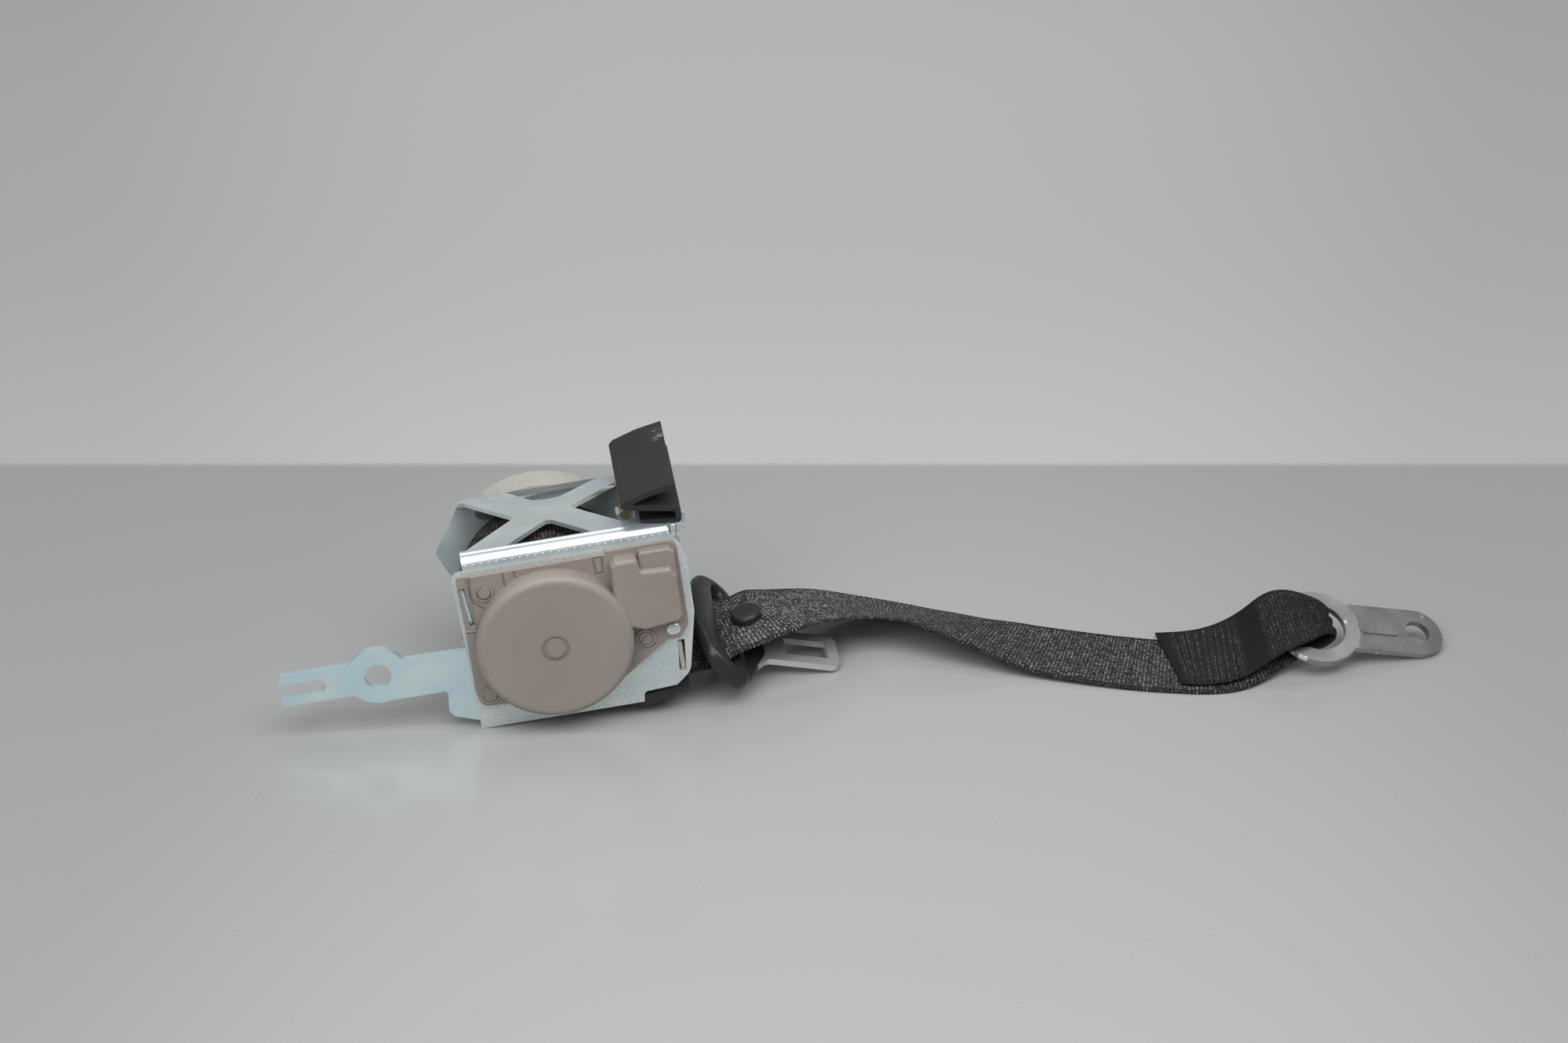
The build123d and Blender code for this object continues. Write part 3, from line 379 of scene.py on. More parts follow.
# %% The spotted anchor plate
anchor_tone, anchor_cloud = (0.285, 0.30, 0.288), (0.375, 0.385, 0.37)
anchor, clouds, specks = plated("anchor_steel", anchor_tone, anchor_cloud, 0.42, 0.00008)
splash = anchor.node("ShaderNodeTexVoronoi", None, {"Vector": anchor.surface(), "Scale": 130.0})
kept = anchor.step(anchor.noise(anchor.surface(), 45.0), 0.52, 0.6)
spots = (1 - anchor.step(Signal(anchor, splash.outputs["Distance"]), 0.12, 0.22)) * kept
plain = anchor.blend(clouds, anchor_tone, anchor_cloud)
anchor.set("Base Color", anchor.blend(spots, plain, (0.80, 0.80, 0.78)))
anchor.set("Metallic", 1 - spots * 0.9)
wear(anchor, ["anchor_plate"])
print("anchor plate spotted")

# %% [markdown]
# ## Moulded plastic
#
# The covers are moulded with a spark-eroded surface: matt, with a very fine pebble
# that only shows as a soft sheen. As a shape it would take millions of faces, so it
# only tilts the light. The thin lines moulded in the taupe cover tilt the light too,
# and painted shade darkens them. The black parts are smoother, and handling has left
# grey scuffs on the corner of the lip.

# %% Moulded plastic
square_mm = 1000000.0  # in a square metre
thin_heart = 7.16  # in square mm: even at its heart a scuff is a little thin


def moulded(name, colour, other, roughness, pebble=0.00003, scuffs=(), shine=0.5):
    """Matt plastic with a fine pebble and faint clouds. Each scuff follows a line, given
    by a point on it, its direction and a radius in mm about it: the square of the
    distance from a line is the square of the way from its point, less the square of
    the part of that way along the line."""
    finish = Finish(name, colour, roughness)
    where = finish.surface()
    fine = finish.noise(where, 2600.0, 2.0)
    clouds = finish.step(finish.noise(where, 38.0, 3.0), 0.3, 0.75)
    tone = finish.blend(clouds, colour, other)
    rubbed = finish.noise(finish.surface(scale=(1, 2.2, 1.0)), 420.0, 5.0)
    for start, direction, radius in scuffs:
        x, y, z = finish.parts(finish.surface(place=[-number for number in start]))
        on_line = x * direction[0] + y * direction[1] + z * direction[2]
        away = x * x + y * y + z * z - on_line * on_line
        near = 1 - finish.step(away * square_mm, -thin_heart, radius * radius)
        marks = finish.step(rubbed, 0.50, 0.62) * near * 0.7
        tone = finish.blend(marks, tone, (0.30, 0.29, 0.28))
    finish.set("Base Color", tone)
    finish.set("Roughness", roughness + clouds * 0.08 + fine * 0.06)
    finish.set("Specular IOR Level", shine)
    finish.relief(fine, pebble)
    finish.tone, finish.fine = tone, fine
    return finish


cover = moulded("cover_plastic", (0.238, 0.207, 0.180), (0.258, 0.225, 0.197), 0.42, 0.00004)
print("the taupe of the spring cover")


# %% Lines moulded in the cover
def crease(finish, lines, half_width):
    """0 on thin lines drawn on the front of the retractor and 1 away from them, with the
    level x and z. Each line is a list of (x, z) points in mm. The nearest point of a
    stretch lies at the share of it that the way from its start covers, held between 0
    and 1. The dome, in front of the lines, stays clear."""
    level = finish.surface(place=[-number / 1000 for number in shift])
    level = finish.node("ShaderNodeVectorRotate", {"rotation_type": "Y_AXIS"},
                        {"Vector": level, "Angle": tilt}).outputs[0]
    x, y, z = finish.parts(level)
    nearest = None
    for line in lines:
        for (x0, z0), (x1, z1) in zip(line, line[1:]):
            dx, dz = (x1 - x0) / 1000, (z1 - z0) / 1000
            px, pz = x - x0 / 1000, z - z0 / 1000
            share = finish.math("MAXIMUM", (px * dx + pz * dz) / (dx * dx + dz * dz), 0.0)
            share = finish.math("MINIMUM", share, 1.0)
            px, pz = px - share * dx, pz - share * dz
            away = px * px + pz * pz
            nearest = away if nearest is None else finish.math("MINIMUM", nearest, away)
    drawn = finish.step(nearest * square_mm, 0.0, half_width * half_width)
    return finish.math("MAXIMUM", drawn, 1 - finish.step(y, -0.0038, -0.0034)), x, z


recess = [(59.9, 76.0), (63.8, 76.2), (63.5, 68.6), (60.6, 68.4), (59.9, 76.0)]
ear = [(6.0, 76.2), (5.5, 66.8), (6.3, 63.9), (10.7, 59.7), (19.4, 66.5)]
flank = [(10.4, 58.0), (9.0, 55.5), (5.5, 49.1), (0.5, 49.6)]
long_notch, short_notch = [(20.6, 76.0), (20.7, 70.4)], [(25.5, 75.9), (25.7, 73.2)]
clear, flat_x, flat_z = crease(cover, [recess, ear, long_notch, flank, short_notch], 0.55)

# Round each clip runs a groove, open at its upper right.
clip_groove = 3.1
for clip_x, clip_z in ((11.6, 68.2), (78.6, 31.5), (14.6, 16.6)):
    off_x, off_z = flat_x - clip_x / 1000, flat_z - clip_z / 1000
    from_groove = cover.math("SQRT", off_x * off_x + off_z * off_z) * 1000.0 - clip_groove
    opening = cover.step(off_x * 0.8 + off_z * 0.6, 0.0012, 0.0016)
    groove = cover.math("MAXIMUM", opening, cover.step(from_groove * from_groove, 0.0, 0.10))
    clear = cover.math("MINIMUM", clear, groove)
# Painted shade: the lines and the grooves are darkened, a share of 0.35 towards near black (0.03,
# 0.027, 0.025).
cover.set("Base Color", cover.blend(clear * 0.35 + 0.65, (0.03, 0.027, 0.025), cover.tone))
cover.relief(cover.fine * 0.12 + clear, 0.00035)
wear(cover, ["spring_cover", "cover_clips"])
print("five lines and three grooves on the cover")

# %% The other plastics
cream = moulded("cream_plastic", (0.35, 0.342, 0.302), (0.375, 0.367, 0.327), 0.45)
wear(cream, ["mechanism_cover", "mechanism_clips"])
nylon = moulded("nylon", (0.50, 0.49, 0.45), (0.54, 0.53, 0.49), 0.4)
wear(nylon, ["lock_gear", "spring_arbor", "front_bush", "back_bush", "sensor_lever"])
black = moulded("black_plastic", (0.0185, 0.018, 0.0176), (0.023, 0.0224, 0.0218), 0.26,
                pebble=0.00002, shine=0.35)
wear(black, ["sensor_housing", "exit_guide", "stop_button", "stop_button_back", "anchor_sleeve"])
corner_scuff = ((-0.09259, 0.00994, 0.11581), (0.07756, 0.89467, -0.43994), 4.224)
lip = moulded("lip_plastic", (0.020, 0.0196, 0.0192), (0.025, 0.0243, 0.0236), 0.42,
              scuffs=[corner_scuff], shine=0.3)
wear(lip, ["trim_lip"])
print("four more plastics")

# %% [markdown]
# ## The way of the webbing
#
# The webbing is one flat strip. It leaves the roll, passes the tongue's slot, lies
# down along the floor, doubles back round the anchor's bar and ends on itself. Its
# middle line is given by a few stations: a point in millimetres, how far the strip
# leans, its width, and where needed the heading. Straight pieces between them would
# look like folded paper, so a natural cubic spline runs through them instead.

# %% Stations along the webbing
web_thick, web_width = 1.2, 47.0
# x, y, z, lean in degrees, width, and the heading in degrees where it isn't the way ahead
stations = [
    (40.8, 31.5, 5.84, 0, 47), (72.0, 31.5, 12.1, 0, 47), (85.0, 32.6, 15.2, 1.5, 47),
    (95.0, 34.0, 17.3, 2.5, 47), (103.6, 35.2, 19.2, 4, 47), (110.762, 37.189, 22.6, 4, 47),
    (115.0, 36.9, 23.8, 1, 47, 10), (129.5, 40.6, 26.9, -1.5, 47, 18),
    (140.0, 46.4, 25.7, -4, 47, 25), (149.0, 52.6, 22.9, -5.5, 47, 28),
    (158.0, 58.5, 19.8, -7, 47, 26), (167.0, 63.0, 16.7, -10, 47, 18),
    (176.0, 65.5, 13.7, -14, 47), (186.0, 65.7, 11.4, -18, 47), (196.0, 63.4, 10.1, -20, 47),
    (205.0, 59.5, 9.6, -20.7, 47), (214.0, 54.9, 8.9, -19, 47), (223.0, 49.8, 7.6, -16, 47),
    (232.5, 45.2, 6.2, -12.5, 47), (242.0, 41.0, 4.5, -8, 47), (251.0, 37.0, 2.8, -4.5, 47),
    (260.0, 33.2, 1.9, -2.5, 47), (280.0, 25.2, 1.2, -1, 47), (299.0, 18.6, 0.8, 0, 47),
    (318.0, 13.6, 0.8, 0, 47), (330.0, 11.8, 1.4, 2, 47, -8), (342.0, 11.6, 4.2, 8, 43, -1),
    (352.0, 12.0, 7.4, 15, 34, 4), (360.0, 13.0, 10.2, 22, 28, 6.2),
    (369.0, 13.8, 12.6, 24.8, 23, 6.2), (377.0, 14.6, 13.9, 24.8, 19.5, 6.2),
    (383.0, 14.8, 15.6, 24.8, 18, 6.2), (385.5, 14.8, 18.4, 24.8, 17.5, 6.2),
    (383.5, 14.4, 21.2, 24.8, 18.5, 6.2), (378.0, 14.0, 23.0, 24.8, 23, 6.2),
    (371.0, 13.6, 23.4, 24.8, 29, 6.2), (364.0, 13.4, 22.5, 23, 33, 5),
    (357.0, 13.6, 19.2, 19, 36, 2), (350.8, 14.0, 14.2, 15, 39, -2), (343.0, 15.0, 8.6, 9, 44, -6),
    (333.6, 16.0, 4.9, 4, 47, -8), (322.0, 17.6, 3.0, 1, 47, -5), (312.8, 19.5, 2.4, 0, 47, 2.4),
]
points = np.array([station[:3] for station in stations])
lean = np.radians([station[3] for station in stations])
widths = np.array([station[4] for station in stations], float)
ahead_of = np.vstack([points[1:], points[-1:]]) - np.vstack([points[:1], points[:-1]])
course = np.arctan2(ahead_of[:, 1], ahead_of[:, 0])
fixed = [k for k, station in enumerate(stations) if len(station) > 5]
course[fixed] = np.radians([stations[k][5] for k in fixed])
sides = np.stack([-np.sin(course) * np.cos(lean), np.cos(course) * np.cos(lean), np.sin(lean)], 1)
stretch = np.linalg.norm(np.diff(points, axis=0), axis=1)
passed = np.concatenate([[0.0], np.cumsum(stretch)])
print(len(stations), "stations over", round(passed[-1], 1), "mm of webbing")


# %% A smooth line through the stations
def smooth(passed, values, wanted):
    """Natural cubic spline through values at passed: its second derivatives solve one
    linear system, and each span is the cubic that meets its neighbours smoothly."""
    span = np.diff(passed)
    size = len(passed)
    left = np.eye(size)
    right = np.zeros((size, values.shape[1]))
    k = np.arange(1, size - 1)
    left[k, k - 1], left[k, k], left[k, k + 1] = span[k - 1], 2 * (span[k - 1] + span[k]), span[k]
    slope = np.diff(values, axis=0) / span[:, None]
    right[k] = 6 * (slope[k] - slope[k - 1])
    bend = np.linalg.solve(left, right)
    i = np.clip(np.searchsorted(passed, wanted) - 1, 0, size - 2)
    a = ((passed[i + 1] - wanted) / span[i])[:, None]
    b = 1 - a
    lift = ((a ** 3 - a) * bend[i] + (b ** 3 - b) * bend[i + 1]) * (span[i] ** 2)[:, None] / 6
    return a * values[i] + b * values[i + 1] + lift


def webbing_line(start, end, apart):
    """Middle points, side vectors, outward faces and widths at even steps, in mm."""
    wanted = np.linspace(start, end, int((end - start) / apart) + 1)
    middle = smooth(passed, points, wanted)
    forward = np.gradient(middle, wanted, axis=0)
    forward /= np.linalg.norm(forward, axis=1)[:, None]
    side = smooth(passed, sides, wanted)
    side /= np.linalg.norm(side, axis=1)[:, None]
    face = np.cross(forward, side)
    face /= np.linalg.norm(face, axis=1)[:, None]
    wide = smooth(passed, widths[:, None], wanted)[:, 0]
    return wanted, middle, side, face, wide


wanted, middle, side, face, wide = webbing_line(0.0, passed[-1], 0.45)
print(len(wanted), "sections, narrowest", round(wide.min(), 1), "mm")

# %% [markdown]
# ## The webbing itself
#
# Round that line goes a flat section: two faces, rounded edges, and a corded selvedge
# that shows as a row of small beads. The cross ribs are real waves in the surface, a
# twelfth of a millimetre high, and where the strip is gathered to pass the anchor's
# ring, its spare width stands in soft pleats. A second set of coordinates, called
# weave, holds the distance along and across the cloth, so that the woven pattern
# follows every turn.

# %% From points to pieces
def number_points(grid):
    """The numbers of a grid's points, row by row."""
    rows, columns = grid.shape[:2]
    return np.arange(rows * columns).reshape(rows, columns)


def tube_quads(here, there):
    """Faces between rows of points and the next rows, each row a closed loop."""
    corners = [here, there, np.roll(there, -1, 1), np.roll(here, -1, 1)]
    return np.stack(corners, -1).reshape(-1, 4)


def piece_from(name, grid, faces):
    """An object in the scene from points in millimetres and lists of their numbers."""
    mesh = bpy.data.meshes.new(name)
    mesh.from_pydata(((grid.reshape(-1, 3) + shift) / 1000).tolist(), [], faces)
    piece = bpy.data.objects.new(name, mesh)
    bpy.context.scene.collection.objects.link(piece)
    return piece


def lay_weave(piece, along, across):
    """The second coordinates: how far along and across the cloth each point lies."""
    cloth = np.stack(np.broadcast_arrays(along, across), -1).reshape(-1, 2) / 1000
    mesh = piece.data
    corners = np.empty(len(mesh.loops), np.int32)
    mesh.loops.foreach_get("vertex_index", corners)
    weave = mesh.uv_layers.new(name="weave")
    weave.data.foreach_set("uv", cloth[corners].astype(np.float32).ravel())
    mesh.shade_smooth()


print("points can become pieces")

# %% Make a closed strip
sewn_to = passed[-1] - 4.0
sewn_from = sewn_to - 30.0
sewn_pitch = 3.0
rib_pitch, rib_height = 1.7, 0.06
bead_pitch, bead_height, bead_reach = 1.45, 0.13, 0.22
edge_round, selvedge_from, selvedge_rise = 0.55, 2.6, 1.2
pleat_count, pleat_depth = 3, 1.7


def closed_strip(name, cells=26):
    """A flat tube: at each section a loop of points goes out along one face and back
    along the other. Height is half the thickness times a rounded edge, plus a rib
    wave along the cloth, coarse rows where it is sewn, and pleats that grow as the
    width shrinks."""
    even = np.linspace(-1, 1, cells)
    across = np.sin(even * np.pi / 2) * 0.35 + even * 0.65
    u, v = wanted[:, None], np.concatenate([across, across[::-1]])[None, :]
    which = np.concatenate([np.ones(cells), -np.ones(cells)])
    half_wide = wide[:, None] / 2
    inward = half_wide - np.abs(v) * half_wide
    near_edge = np.clip((edge_round - inward) / edge_round, 0, 1)
    selvedge = np.clip((selvedge_from - inward) / selvedge_rise, 0, 1)
    height = web_thick / 2 * np.sqrt(np.clip(1 - near_edge ** 2 * 0.92, 0, 1))
    ribs = rib_height * np.sin(2 * np.pi * u / rib_pitch + 0.9 * np.sin(v * 9.0))
    sewn = np.clip((u - sewn_from) / 2, 0, 1) * np.clip((sewn_to - u) / 1.5, 0, 1)
    thread = np.sin(2 * np.pi * u / sewn_pitch) * (0.6 + 0.4 * np.sin(2 * np.pi * v * 9))
    ribs = (ribs + 0.30 * sewn * thread) * (1 - selvedge)
    bead = np.abs(np.sin(np.pi * u / bead_pitch)) * selvedge
    spare = np.clip(1 - wide[:, None] / web_width, 0, 1)
    pleats = -spare * pleat_depth * (0.5 - 0.5 * np.cos(np.pi * pleat_count * (v + 1)))
    off = which * (height + ribs + bead_height * bead * (1 - near_edge)) + pleats
    reach = v * half_wide + np.sign(v) * bead_reach * bead
    grid = middle[:, None] + side[:, None] * reach[..., None] + face[:, None] * off[..., None]
    index = number_points(grid)
    first, last, k = index[0], index[-1], np.arange(cells - 1)
    start = np.stack([first[k], first[k + 1], first[-2 - k], first[-1 - k]], -1)
    end = np.stack([last[k], last[-1 - k], last[-2 - k], last[k + 1]], -1)
    faces = np.vstack([tube_quads(index[:-1], index[1:]), start, end])
    strip = piece_from(name, grid, faces.tolist())
    lay_weave(strip, u, v * web_width / 2)
    print(name, len(faces), "faces")
    return strip


belt = closed_strip("belt_webbing")

# %% [markdown]
# ## The weave
#
# Polyester belt webbing is a dense twill of round bright yarns, black and grey mixed.
# In the light it looks like charcoal with pale flecks, in columns that cross the belt;
# the flecks are partly pale yarn and partly painted glints. The formula uses distance
# along and across: a brick pattern of short floats gives the relief, and random cells,
# stretched along the belt, give each float its tone. Painted shade thins the flecks
# where the belt turns from the light, where it leaves the reel and on its doubled end,
# where it is sewn.

# %% Woven polyester
def woven(name, pale, laid=False):
    """The cloth, in metres along and across. On the laid belt the light flecks are full
    near the tongue; painted shade thins them where it leaves the reel, where it runs
    away and on the end, which also has a plain band, rows of thread and a sealed tip."""
    cloth = Finish(name, (0.08, 0.078, 0.076), 0.62, Specular_IOR_Level=0.12)
    flat = cloth.node("ShaderNodeUVMap", {"uv_map": "weave"}).outputs[0]
    u, v, _ = cloth.parts(flat)
    yarn = v / 0.00062
    lane = cloth.math("FLOOR", yarn)
    float_length, bead_length = rib_pitch / 1000, bead_pitch / 1000
    brick = cloth.math("FRACT", u / float_length + lane * 0.37)
    bulge = cloth.wave(brick * math.pi) * cloth.math("ABSOLUTE", cloth.wave(yarn * math.pi))
    cell = cloth.node("ShaderNodeCombineXYZ", None, {
        0: cloth.math("FLOOR", u / float_length + lane * 0.37), 1: lane})
    chance = Signal(cloth, cloth.node("ShaderNodeTexWhiteNoise", {"noise_dimensions": "2D"},
                                      {"Vector": cell.outputs[0]}).outputs["Value"])
    stretched = cloth.node("ShaderNodeMapping", None, {"Vector": flat, "Scale": (1.0, 1.9, 1.0)})
    # The flecks are partly pale yarn and partly painted glints: bright specks painted into the base
    # colour where the yarns catch the light.
    fleck_and_glint_cells = cloth.node("ShaderNodeTexVoronoi", None,
                       {"Vector": stretched.outputs[0], "Scale": 1500.0})
    fleck_and_glint_cells = cloth.node("ShaderNodeSeparateColor", None, {0: fleck_and_glint_cells.outputs["Color"]})
    flecks_and_painted_glints = cloth.step(Signal(cloth, fleck_and_glint_cells.outputs[0]), 0.64, 0.84)
    column = cloth.step(cloth.wave(u * (2 * math.pi / float_length)), -0.4, 0.9)
    long_way = cloth.node("ShaderNodeMapping", None, {"Vector": flat, "Scale": (1.0, 0.12, 1.0)})
    drift = cloth.noise(long_way.outputs[0], 260.0, 3.0)
    edge = cloth.step(cloth.math("ABSOLUTE", v), 0.0206, 0.0214)
    ladder = cloth.step(cloth.wave(u * (2 * math.pi / bead_length)), -0.2, 0.6)
    light = flecks_and_painted_glints * (0.2 + column * 0.8) * (0.2 + drift * 1.5) + chance * 0.08
    light = light * (1 - edge * 0.35)
    if laid:
        sewn_start, sewn_end = sewn_from / 1000, sewn_to / 1000
        # Painted shade thins the flecks where the belt runs away beyond its crest, where it leaves
        # the reel and on its doubled end.
        painted_shade_running = cloth.step(u, 0.125, 0.215)
        painted_shade_ending = cloth.step(u, 0.335, 0.36)
        painted_shade_leaving = 1 - cloth.step(u, 0.055, 0.085)
        plain = cloth.step(u, sewn_start - 0.013, sewn_start - 0.012)
        plain = plain * (1 - cloth.step(u, sewn_start - 0.001, sewn_start))
        sealed = cloth.step(u, sewn_end + 0.0005, sewn_end + 0.0009)
        light = light * (1 - painted_shade_running * 0.38) * (1 - painted_shade_ending * 0.72) * (1 - painted_shade_leaving * 0.5)
        light = light * (1 - plain * 0.8) * (1 - sealed * 0.85)
        thread = cloth.step(cloth.wave(u * (2000 * math.pi / sewn_pitch)), 0.1, 0.7)
        sewn = cloth.step(u, sewn_start, sewn_start + 0.001) * (1 - sealed)
        light = light * (1 + sewn * 0.5) * (1 - sewn * thread * 0.75)
    # pale is the tone of the flecks, partly yarn and partly painted glints.
    tone = cloth.blend(light, (0.0095, 0.0091, 0.0088), pale)
    tone = cloth.blend(edge * (1 - ladder) * 0.8, tone, (0.0095, 0.0095, 0.0095))
    cloth.set("Base Color", tone)
    cloth.set("Roughness", 0.7 - light * 0.3)
    cloth.relief(bulge * (1 - edge) + ladder * edge, 0.00022)
    return cloth


belt.data.materials.append(woven("webbing", (0.46, 0.445, 0.43), laid=True).material)
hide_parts("webbing", "webbing_loop")
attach(belt, "retractor")
print("the belt is woven")

# %% [markdown]
# ## The wound roll
#
# Inside the frame about three metres of webbing are wound on the spool. Only the
# outer turn and the edges of the others show. A profile, once round the section of
# the ring, is turned about the spool's line: straight over the outer turn, and a
# small step for every layer down each side.

# %% Turn the roll
spool_x, spool_z = 38.0, 40.3


def leaning(x, y, z):
    """From the level retractor to the one that leans back on the floor, in mm."""
    sine, cosine = math.sin(tilt), math.cos(tilt)
    return np.stack([x * cosine - z * sine, y, x * sine + z * cosine], -1)


def wound_roll(name, inner, outer, front, back, around=300):
    """Radius and depth go once round the ring's section; each side has a tooth per
    layer. Angle carries the profile about the spool's line."""
    layers = int((outer - inner) / web_thick)
    tooth_r, tooth_d = [0.15, 0.6, 1.05], [0.35, 0.6, 0.35]
    edge_r = outer - np.repeat(np.arange(layers), 3) * web_thick - np.tile(tooth_r, layers)
    edge_d = np.tile(tooth_d, layers)
    flat_d = np.linspace(front + 0.5, back - 0.5, 24)
    radius = np.concatenate([np.full(24, outer), edge_r, edge_r[::-1]])
    depth = np.concatenate([flat_d, back - edge_d, (front + edge_d)[::-1]])
    angle = np.linspace(0, 2 * np.pi, around, endpoint=False)[:, None]
    ribs = rib_height * np.sin(angle * round(2 * np.pi * outer / rib_pitch)) * (radius == outer)
    r = radius[None] + ribs
    grid = leaning(spool_x + r * np.cos(angle), np.broadcast_to(depth, r.shape),
                   spool_z + r * np.sin(angle))
    here = number_points(grid)
    there = np.roll(here, -1, 0)
    corners = [here, np.roll(here, -1, 1), np.roll(there, -1, 1), there]
    faces = np.stack(corners, -1).reshape(-1, 4)
    roll = piece_from(name, grid, faces.tolist())
    lay_weave(roll, angle * outer, depth - (front + back) / 2)
    print(name, layers, "layers,", len(faces), "faces")
    return roll


roll = wound_roll("wound_webbing", 13.2, 38.5, 8.0, 55.0)
# Painted shade: the roll's copy of the cloth has its pale flecks darkened to about half, for the
# shade inside the frame.
roll.data.materials.append(woven("webbing_roll", (0.24, 0.215, 0.21)).material)
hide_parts("webbing_roll")
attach(roll, "reel")

# %% [markdown]
# ## The grip of the tongue
#
# The grip is moulded round the steel loop, with no straight edge on it. It is drawn as
# a ring: at each of a few places round the slot there is an inner point, an outer
# point and a height, and a superellipse is swung from one to the next. A second form,
# a tapering pillow, covers the root of the blade. A voxel remesh melts the two
# together, as the mould does, and a smoothing rounds the seam.

# %% Planes of the tongue
def tilted(heading, slope, roll):
    """Along, across and up, for a plate that points one way, slopes down and rolls."""
    h, s, r = np.radians([heading, slope, roll])
    along = np.array([np.cos(h) * np.cos(s), np.sin(h) * np.cos(s), -np.sin(s)])
    level = np.array([-np.sin(h), np.cos(h), 0.0])
    across = level * np.cos(r) + np.cross(along, level) * np.sin(r)
    return along, across, np.cross(along, across)


blade_tip, blade_length = np.array([163.6, 39.9, 4.9]), 47.2
blade_along, blade_across, blade_up = tilted(2.1, 12.2, 7.2)
blade_root = blade_tip - blade_along * blade_length
bend = math.radians(36.8)
loop_along = blade_up * math.sin(bend) - blade_along * math.cos(bend)
loop_up = np.cross(loop_along, blade_across)
print("blade points along", np.round(blade_along, 3), "loop along", np.round(loop_along, 3))


# %% Ring and pillow
def power(value, exponent):
    """The size of a value raised to a power, with its sign kept."""
    return np.sign(value) * np.abs(value) ** exponent


def round_way(values, count):
    """A closed Catmull-Rom curve through values, in count points."""
    size = len(values)
    at = np.linspace(0, size, count, endpoint=False)
    k = at.astype(int)
    t = (at - k)[:, None]
    p0, p1, p2, p3 = (values[(k + step) % size] for step in (-1, 0, 1, 2))
    return p1 + 0.5 * t * (p2 - p0 + t * (2 * p0 - 5 * p1 + 4 * p2 - p3
                                          + t * (3 * (p1 - p2) + p3 - p0)))


def loops_mesh(name, loops, closed):
    """A piece from loops of points, joined in a ring or capped at both ends."""
    index = number_points(loops)
    if closed:
        return piece_from(name, loops, tube_quads(index, np.roll(index, -1, 0)).tolist())
    caps = [index[0].tolist(), index[-1][::-1].tolist()]
    return piece_from(name, loops, tube_quads(index[:-1], index[1:]).tolist() + caps)


# Inner point along and across, outer point along and across, half height: once round the
# slot's left half. The right half mirrors it, a little fuller.
half_ring = [(6.8, 0, -4.5, 0, 3.3), (6.8, 14, -4.5, 15, 3.4), (6.9, 24.5, -3.5, 26, 3.5),
             (7.8, 27.9, -0.5, 33.0, 3.6), (10.3, 28.6, 7.0, 34.6, 3.7),
             (12.8, 27.9, 15.5, 33.0, 3.7), (13.8, 24.5, 22.8, 28.5, 3.5),
             (13.8, 13, 27.2, 17, 3.3)]
ring = half_ring + [(13.8, 0, 28.0, 0, 3.3)]
ring += [(xi, -yi, xo + 0.8, -yo * 1.02, h * 1.18) for xi, yi, xo, yo, h in half_ring[:0:-1]]
ring = round_way(np.array(ring, float), 180)
turn = np.linspace(0, 2 * np.pi, 36, endpoint=False)
swing, rise = power(np.cos(turn), 2 / 2.6)[None], power(np.sin(turn), 2 / 2.6)[None]
off_plate = 1.5
out_share = swing * 0.5 + 0.5
lift = rise * ring[:, 4:] + off_plate
flat_x = ring[:, 0:1] + (ring[:, 2:3] - ring[:, 0:1]) * out_share
flat_y = ring[:, 1:2] + (ring[:, 3:4] - ring[:, 1:2]) * out_share
ring_points = (blade_root + flat_x[..., None] * loop_along + flat_y[..., None] * blade_across
               + lift[..., None] * loop_up)
grip = loops_mesh("tongue_grip_moulded", ring_points, True)

# Along the blade from its root, half width, half height
stem = np.array([(-8.0, 1.0, 0.3), (-7.6, 20, 2.2), (-6, 26, 3.3), (-3, 29, 3.6), (0, 30, 3.7),
                 (3, 28, 3.6), (6, 22, 3.4), (9, 15.5, 3.1), (11.2, 11.6, 2.7), (12.6, 8.6, 1.7),
                 (13.0, 1.0, 0.3)])
stem_y = swing * stem[:, 1:2]
stem_z = rise * stem[:, 2:] - off_plate
stem_points = (blade_root + stem[:, 0, None, None] * blade_along
               + stem_y[..., None] * blade_across + stem_z[..., None] * blade_up)
pillow = loops_mesh("pillow", stem_points, False)
with bpy.context.temp_override(active_object=grip, object=grip,
                               selected_editable_objects=[grip, pillow]):
    bpy.ops.object.join()
melt = grip.modifiers.new("melt", "REMESH")
melt.mode, melt.voxel_size, melt.use_smooth_shade = "VOXEL", 0.00055, True
soften = grip.modifiers.new("soften", "SMOOTH")
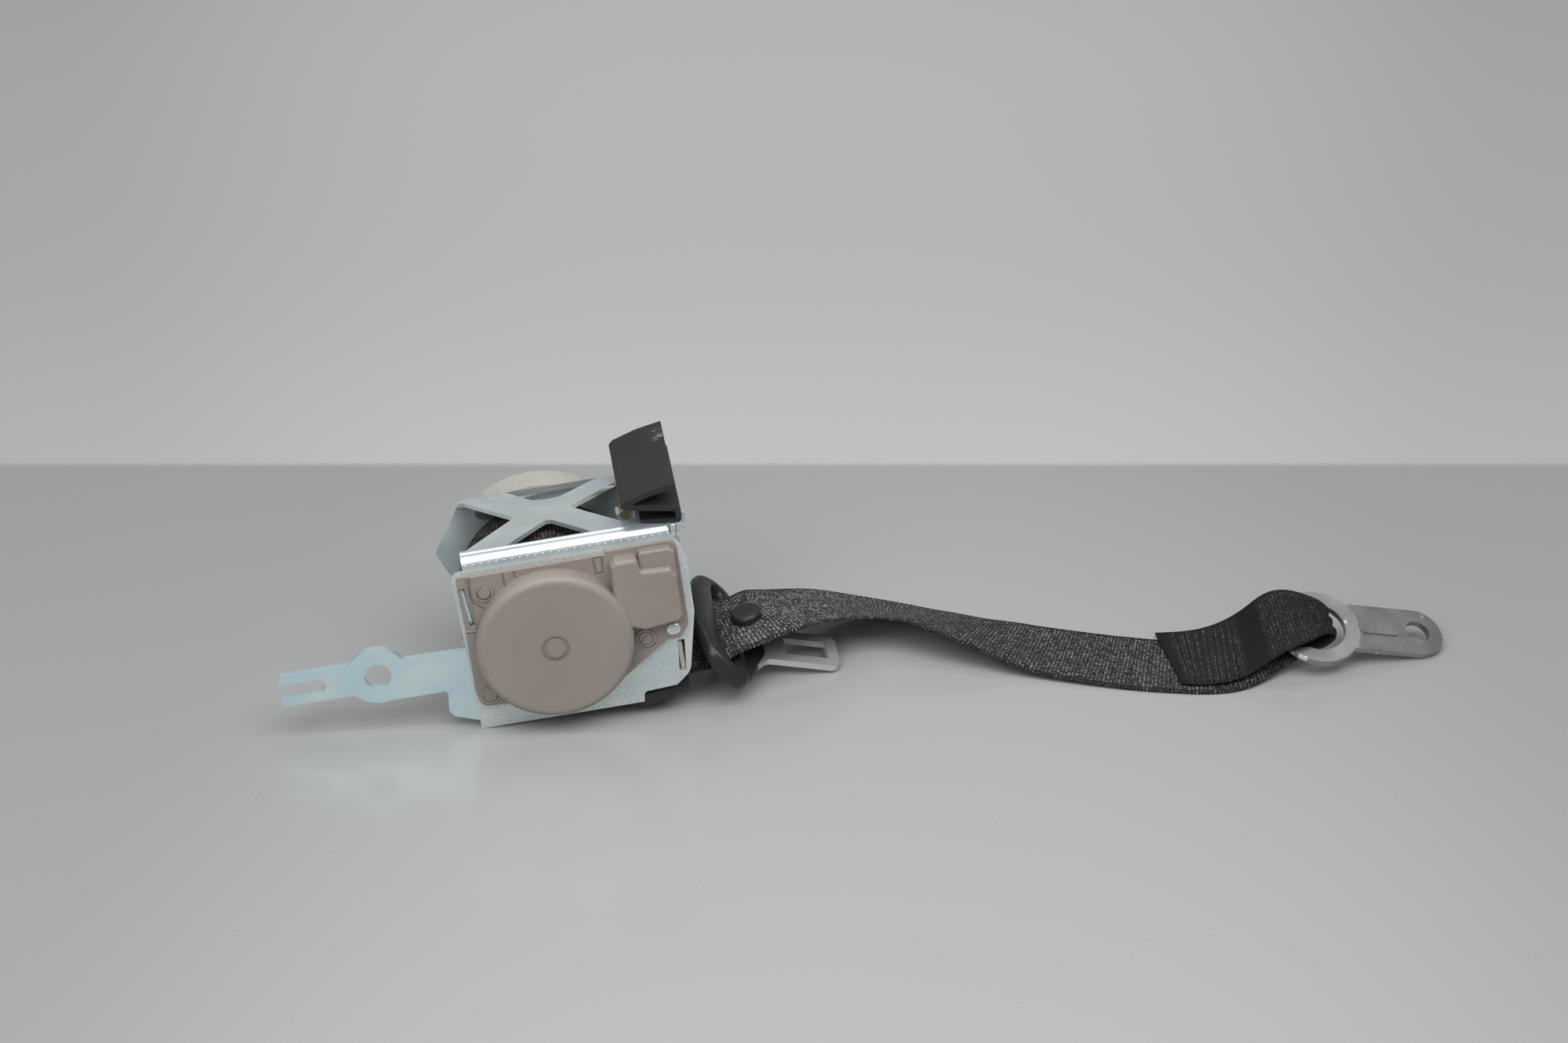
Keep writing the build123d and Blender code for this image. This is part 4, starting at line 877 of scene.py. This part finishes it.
soften.factor, soften.iterations = 0.5, 12
grip.data.materials.append(black.material)
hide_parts("tongue_grip")
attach(grip, "tongue")
print("grip:", len(grip.data.polygons), "faces before the remesh")

# %% [markdown]
# ## Small fittings
#
# Through the two slots of the front plate a bar can be seen, bright at the left and
# cream at the right. A lug of the steel stands out below the raised housing, and a pin,
# a tab and a wire stand at the right end of the web. All six are short bars, so one
# function with a rounder or squarer section draws them.

# %% Soft-edged bars
def soft_bar(name, start, end, size, finish, corner=0.5, ends=12):
    """A bar from one point of the level retractor to another, mostly upright. Its
    section is a superellipse of a given width and depth, and both ends are drawn in:
    a larger corner and a smaller ends make it rounder."""
    along = np.linspace(-1, 1, 21)
    shrink = np.clip(1 - np.abs(along) ** ends, 0.05, 1) ** 0.5
    around = np.linspace(0, 2 * np.pi, 24, endpoint=False)
    middle = np.array(start) + (np.array(end) - start) * (along[:, None] + 1) / 2
    x = middle[:, 0:1] + power(np.cos(around), corner)[None] * size[0] / 2 * shrink[:, None]
    y = middle[:, 1:2] + power(np.sin(around), corner)[None] * size[1] / 2 * shrink[:, None]
    z = np.broadcast_to(middle[:, 2:3], x.shape)
    bar = loops_mesh(name, leaning(x, y, z), False)
    bar.data.materials.append(finish.material)
    bar.data.shade_smooth()
    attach(bar, "retractor")


soft_bar("left_bar", (3.6, 1.2, 52.5), (1.9, 1.2, 70.0), (2.1, 1.6), zinc)
soft_bar("right_bar", (92.0, 1.3, 12.0), (91.6, 1.3, 27.6), (2.2, 1.6), cream)
soft_bar("lower_lug", (90.0, -2.6, 32.6), (90.0, -2.6, 38.4), (6.6, 2.4), zinc,
         corner=0.9, ends=2.4)
soft_bar("end_pin", (95.9, 2.4, 78.3), (96.6, 2.4, 84.8), (2.6, 2.6), zinc)
soft_bar("end_tab", (98.2, 1.4, 78.4), (98.9, 1.4, 85.3), (1.3, 2.0), zinc)
soft_bar("end_wire", (101.2, 2.0, 81.6), (101.6, 2.0, 89.6), (1.3, 0.9), zinc)
print("six small fittings")
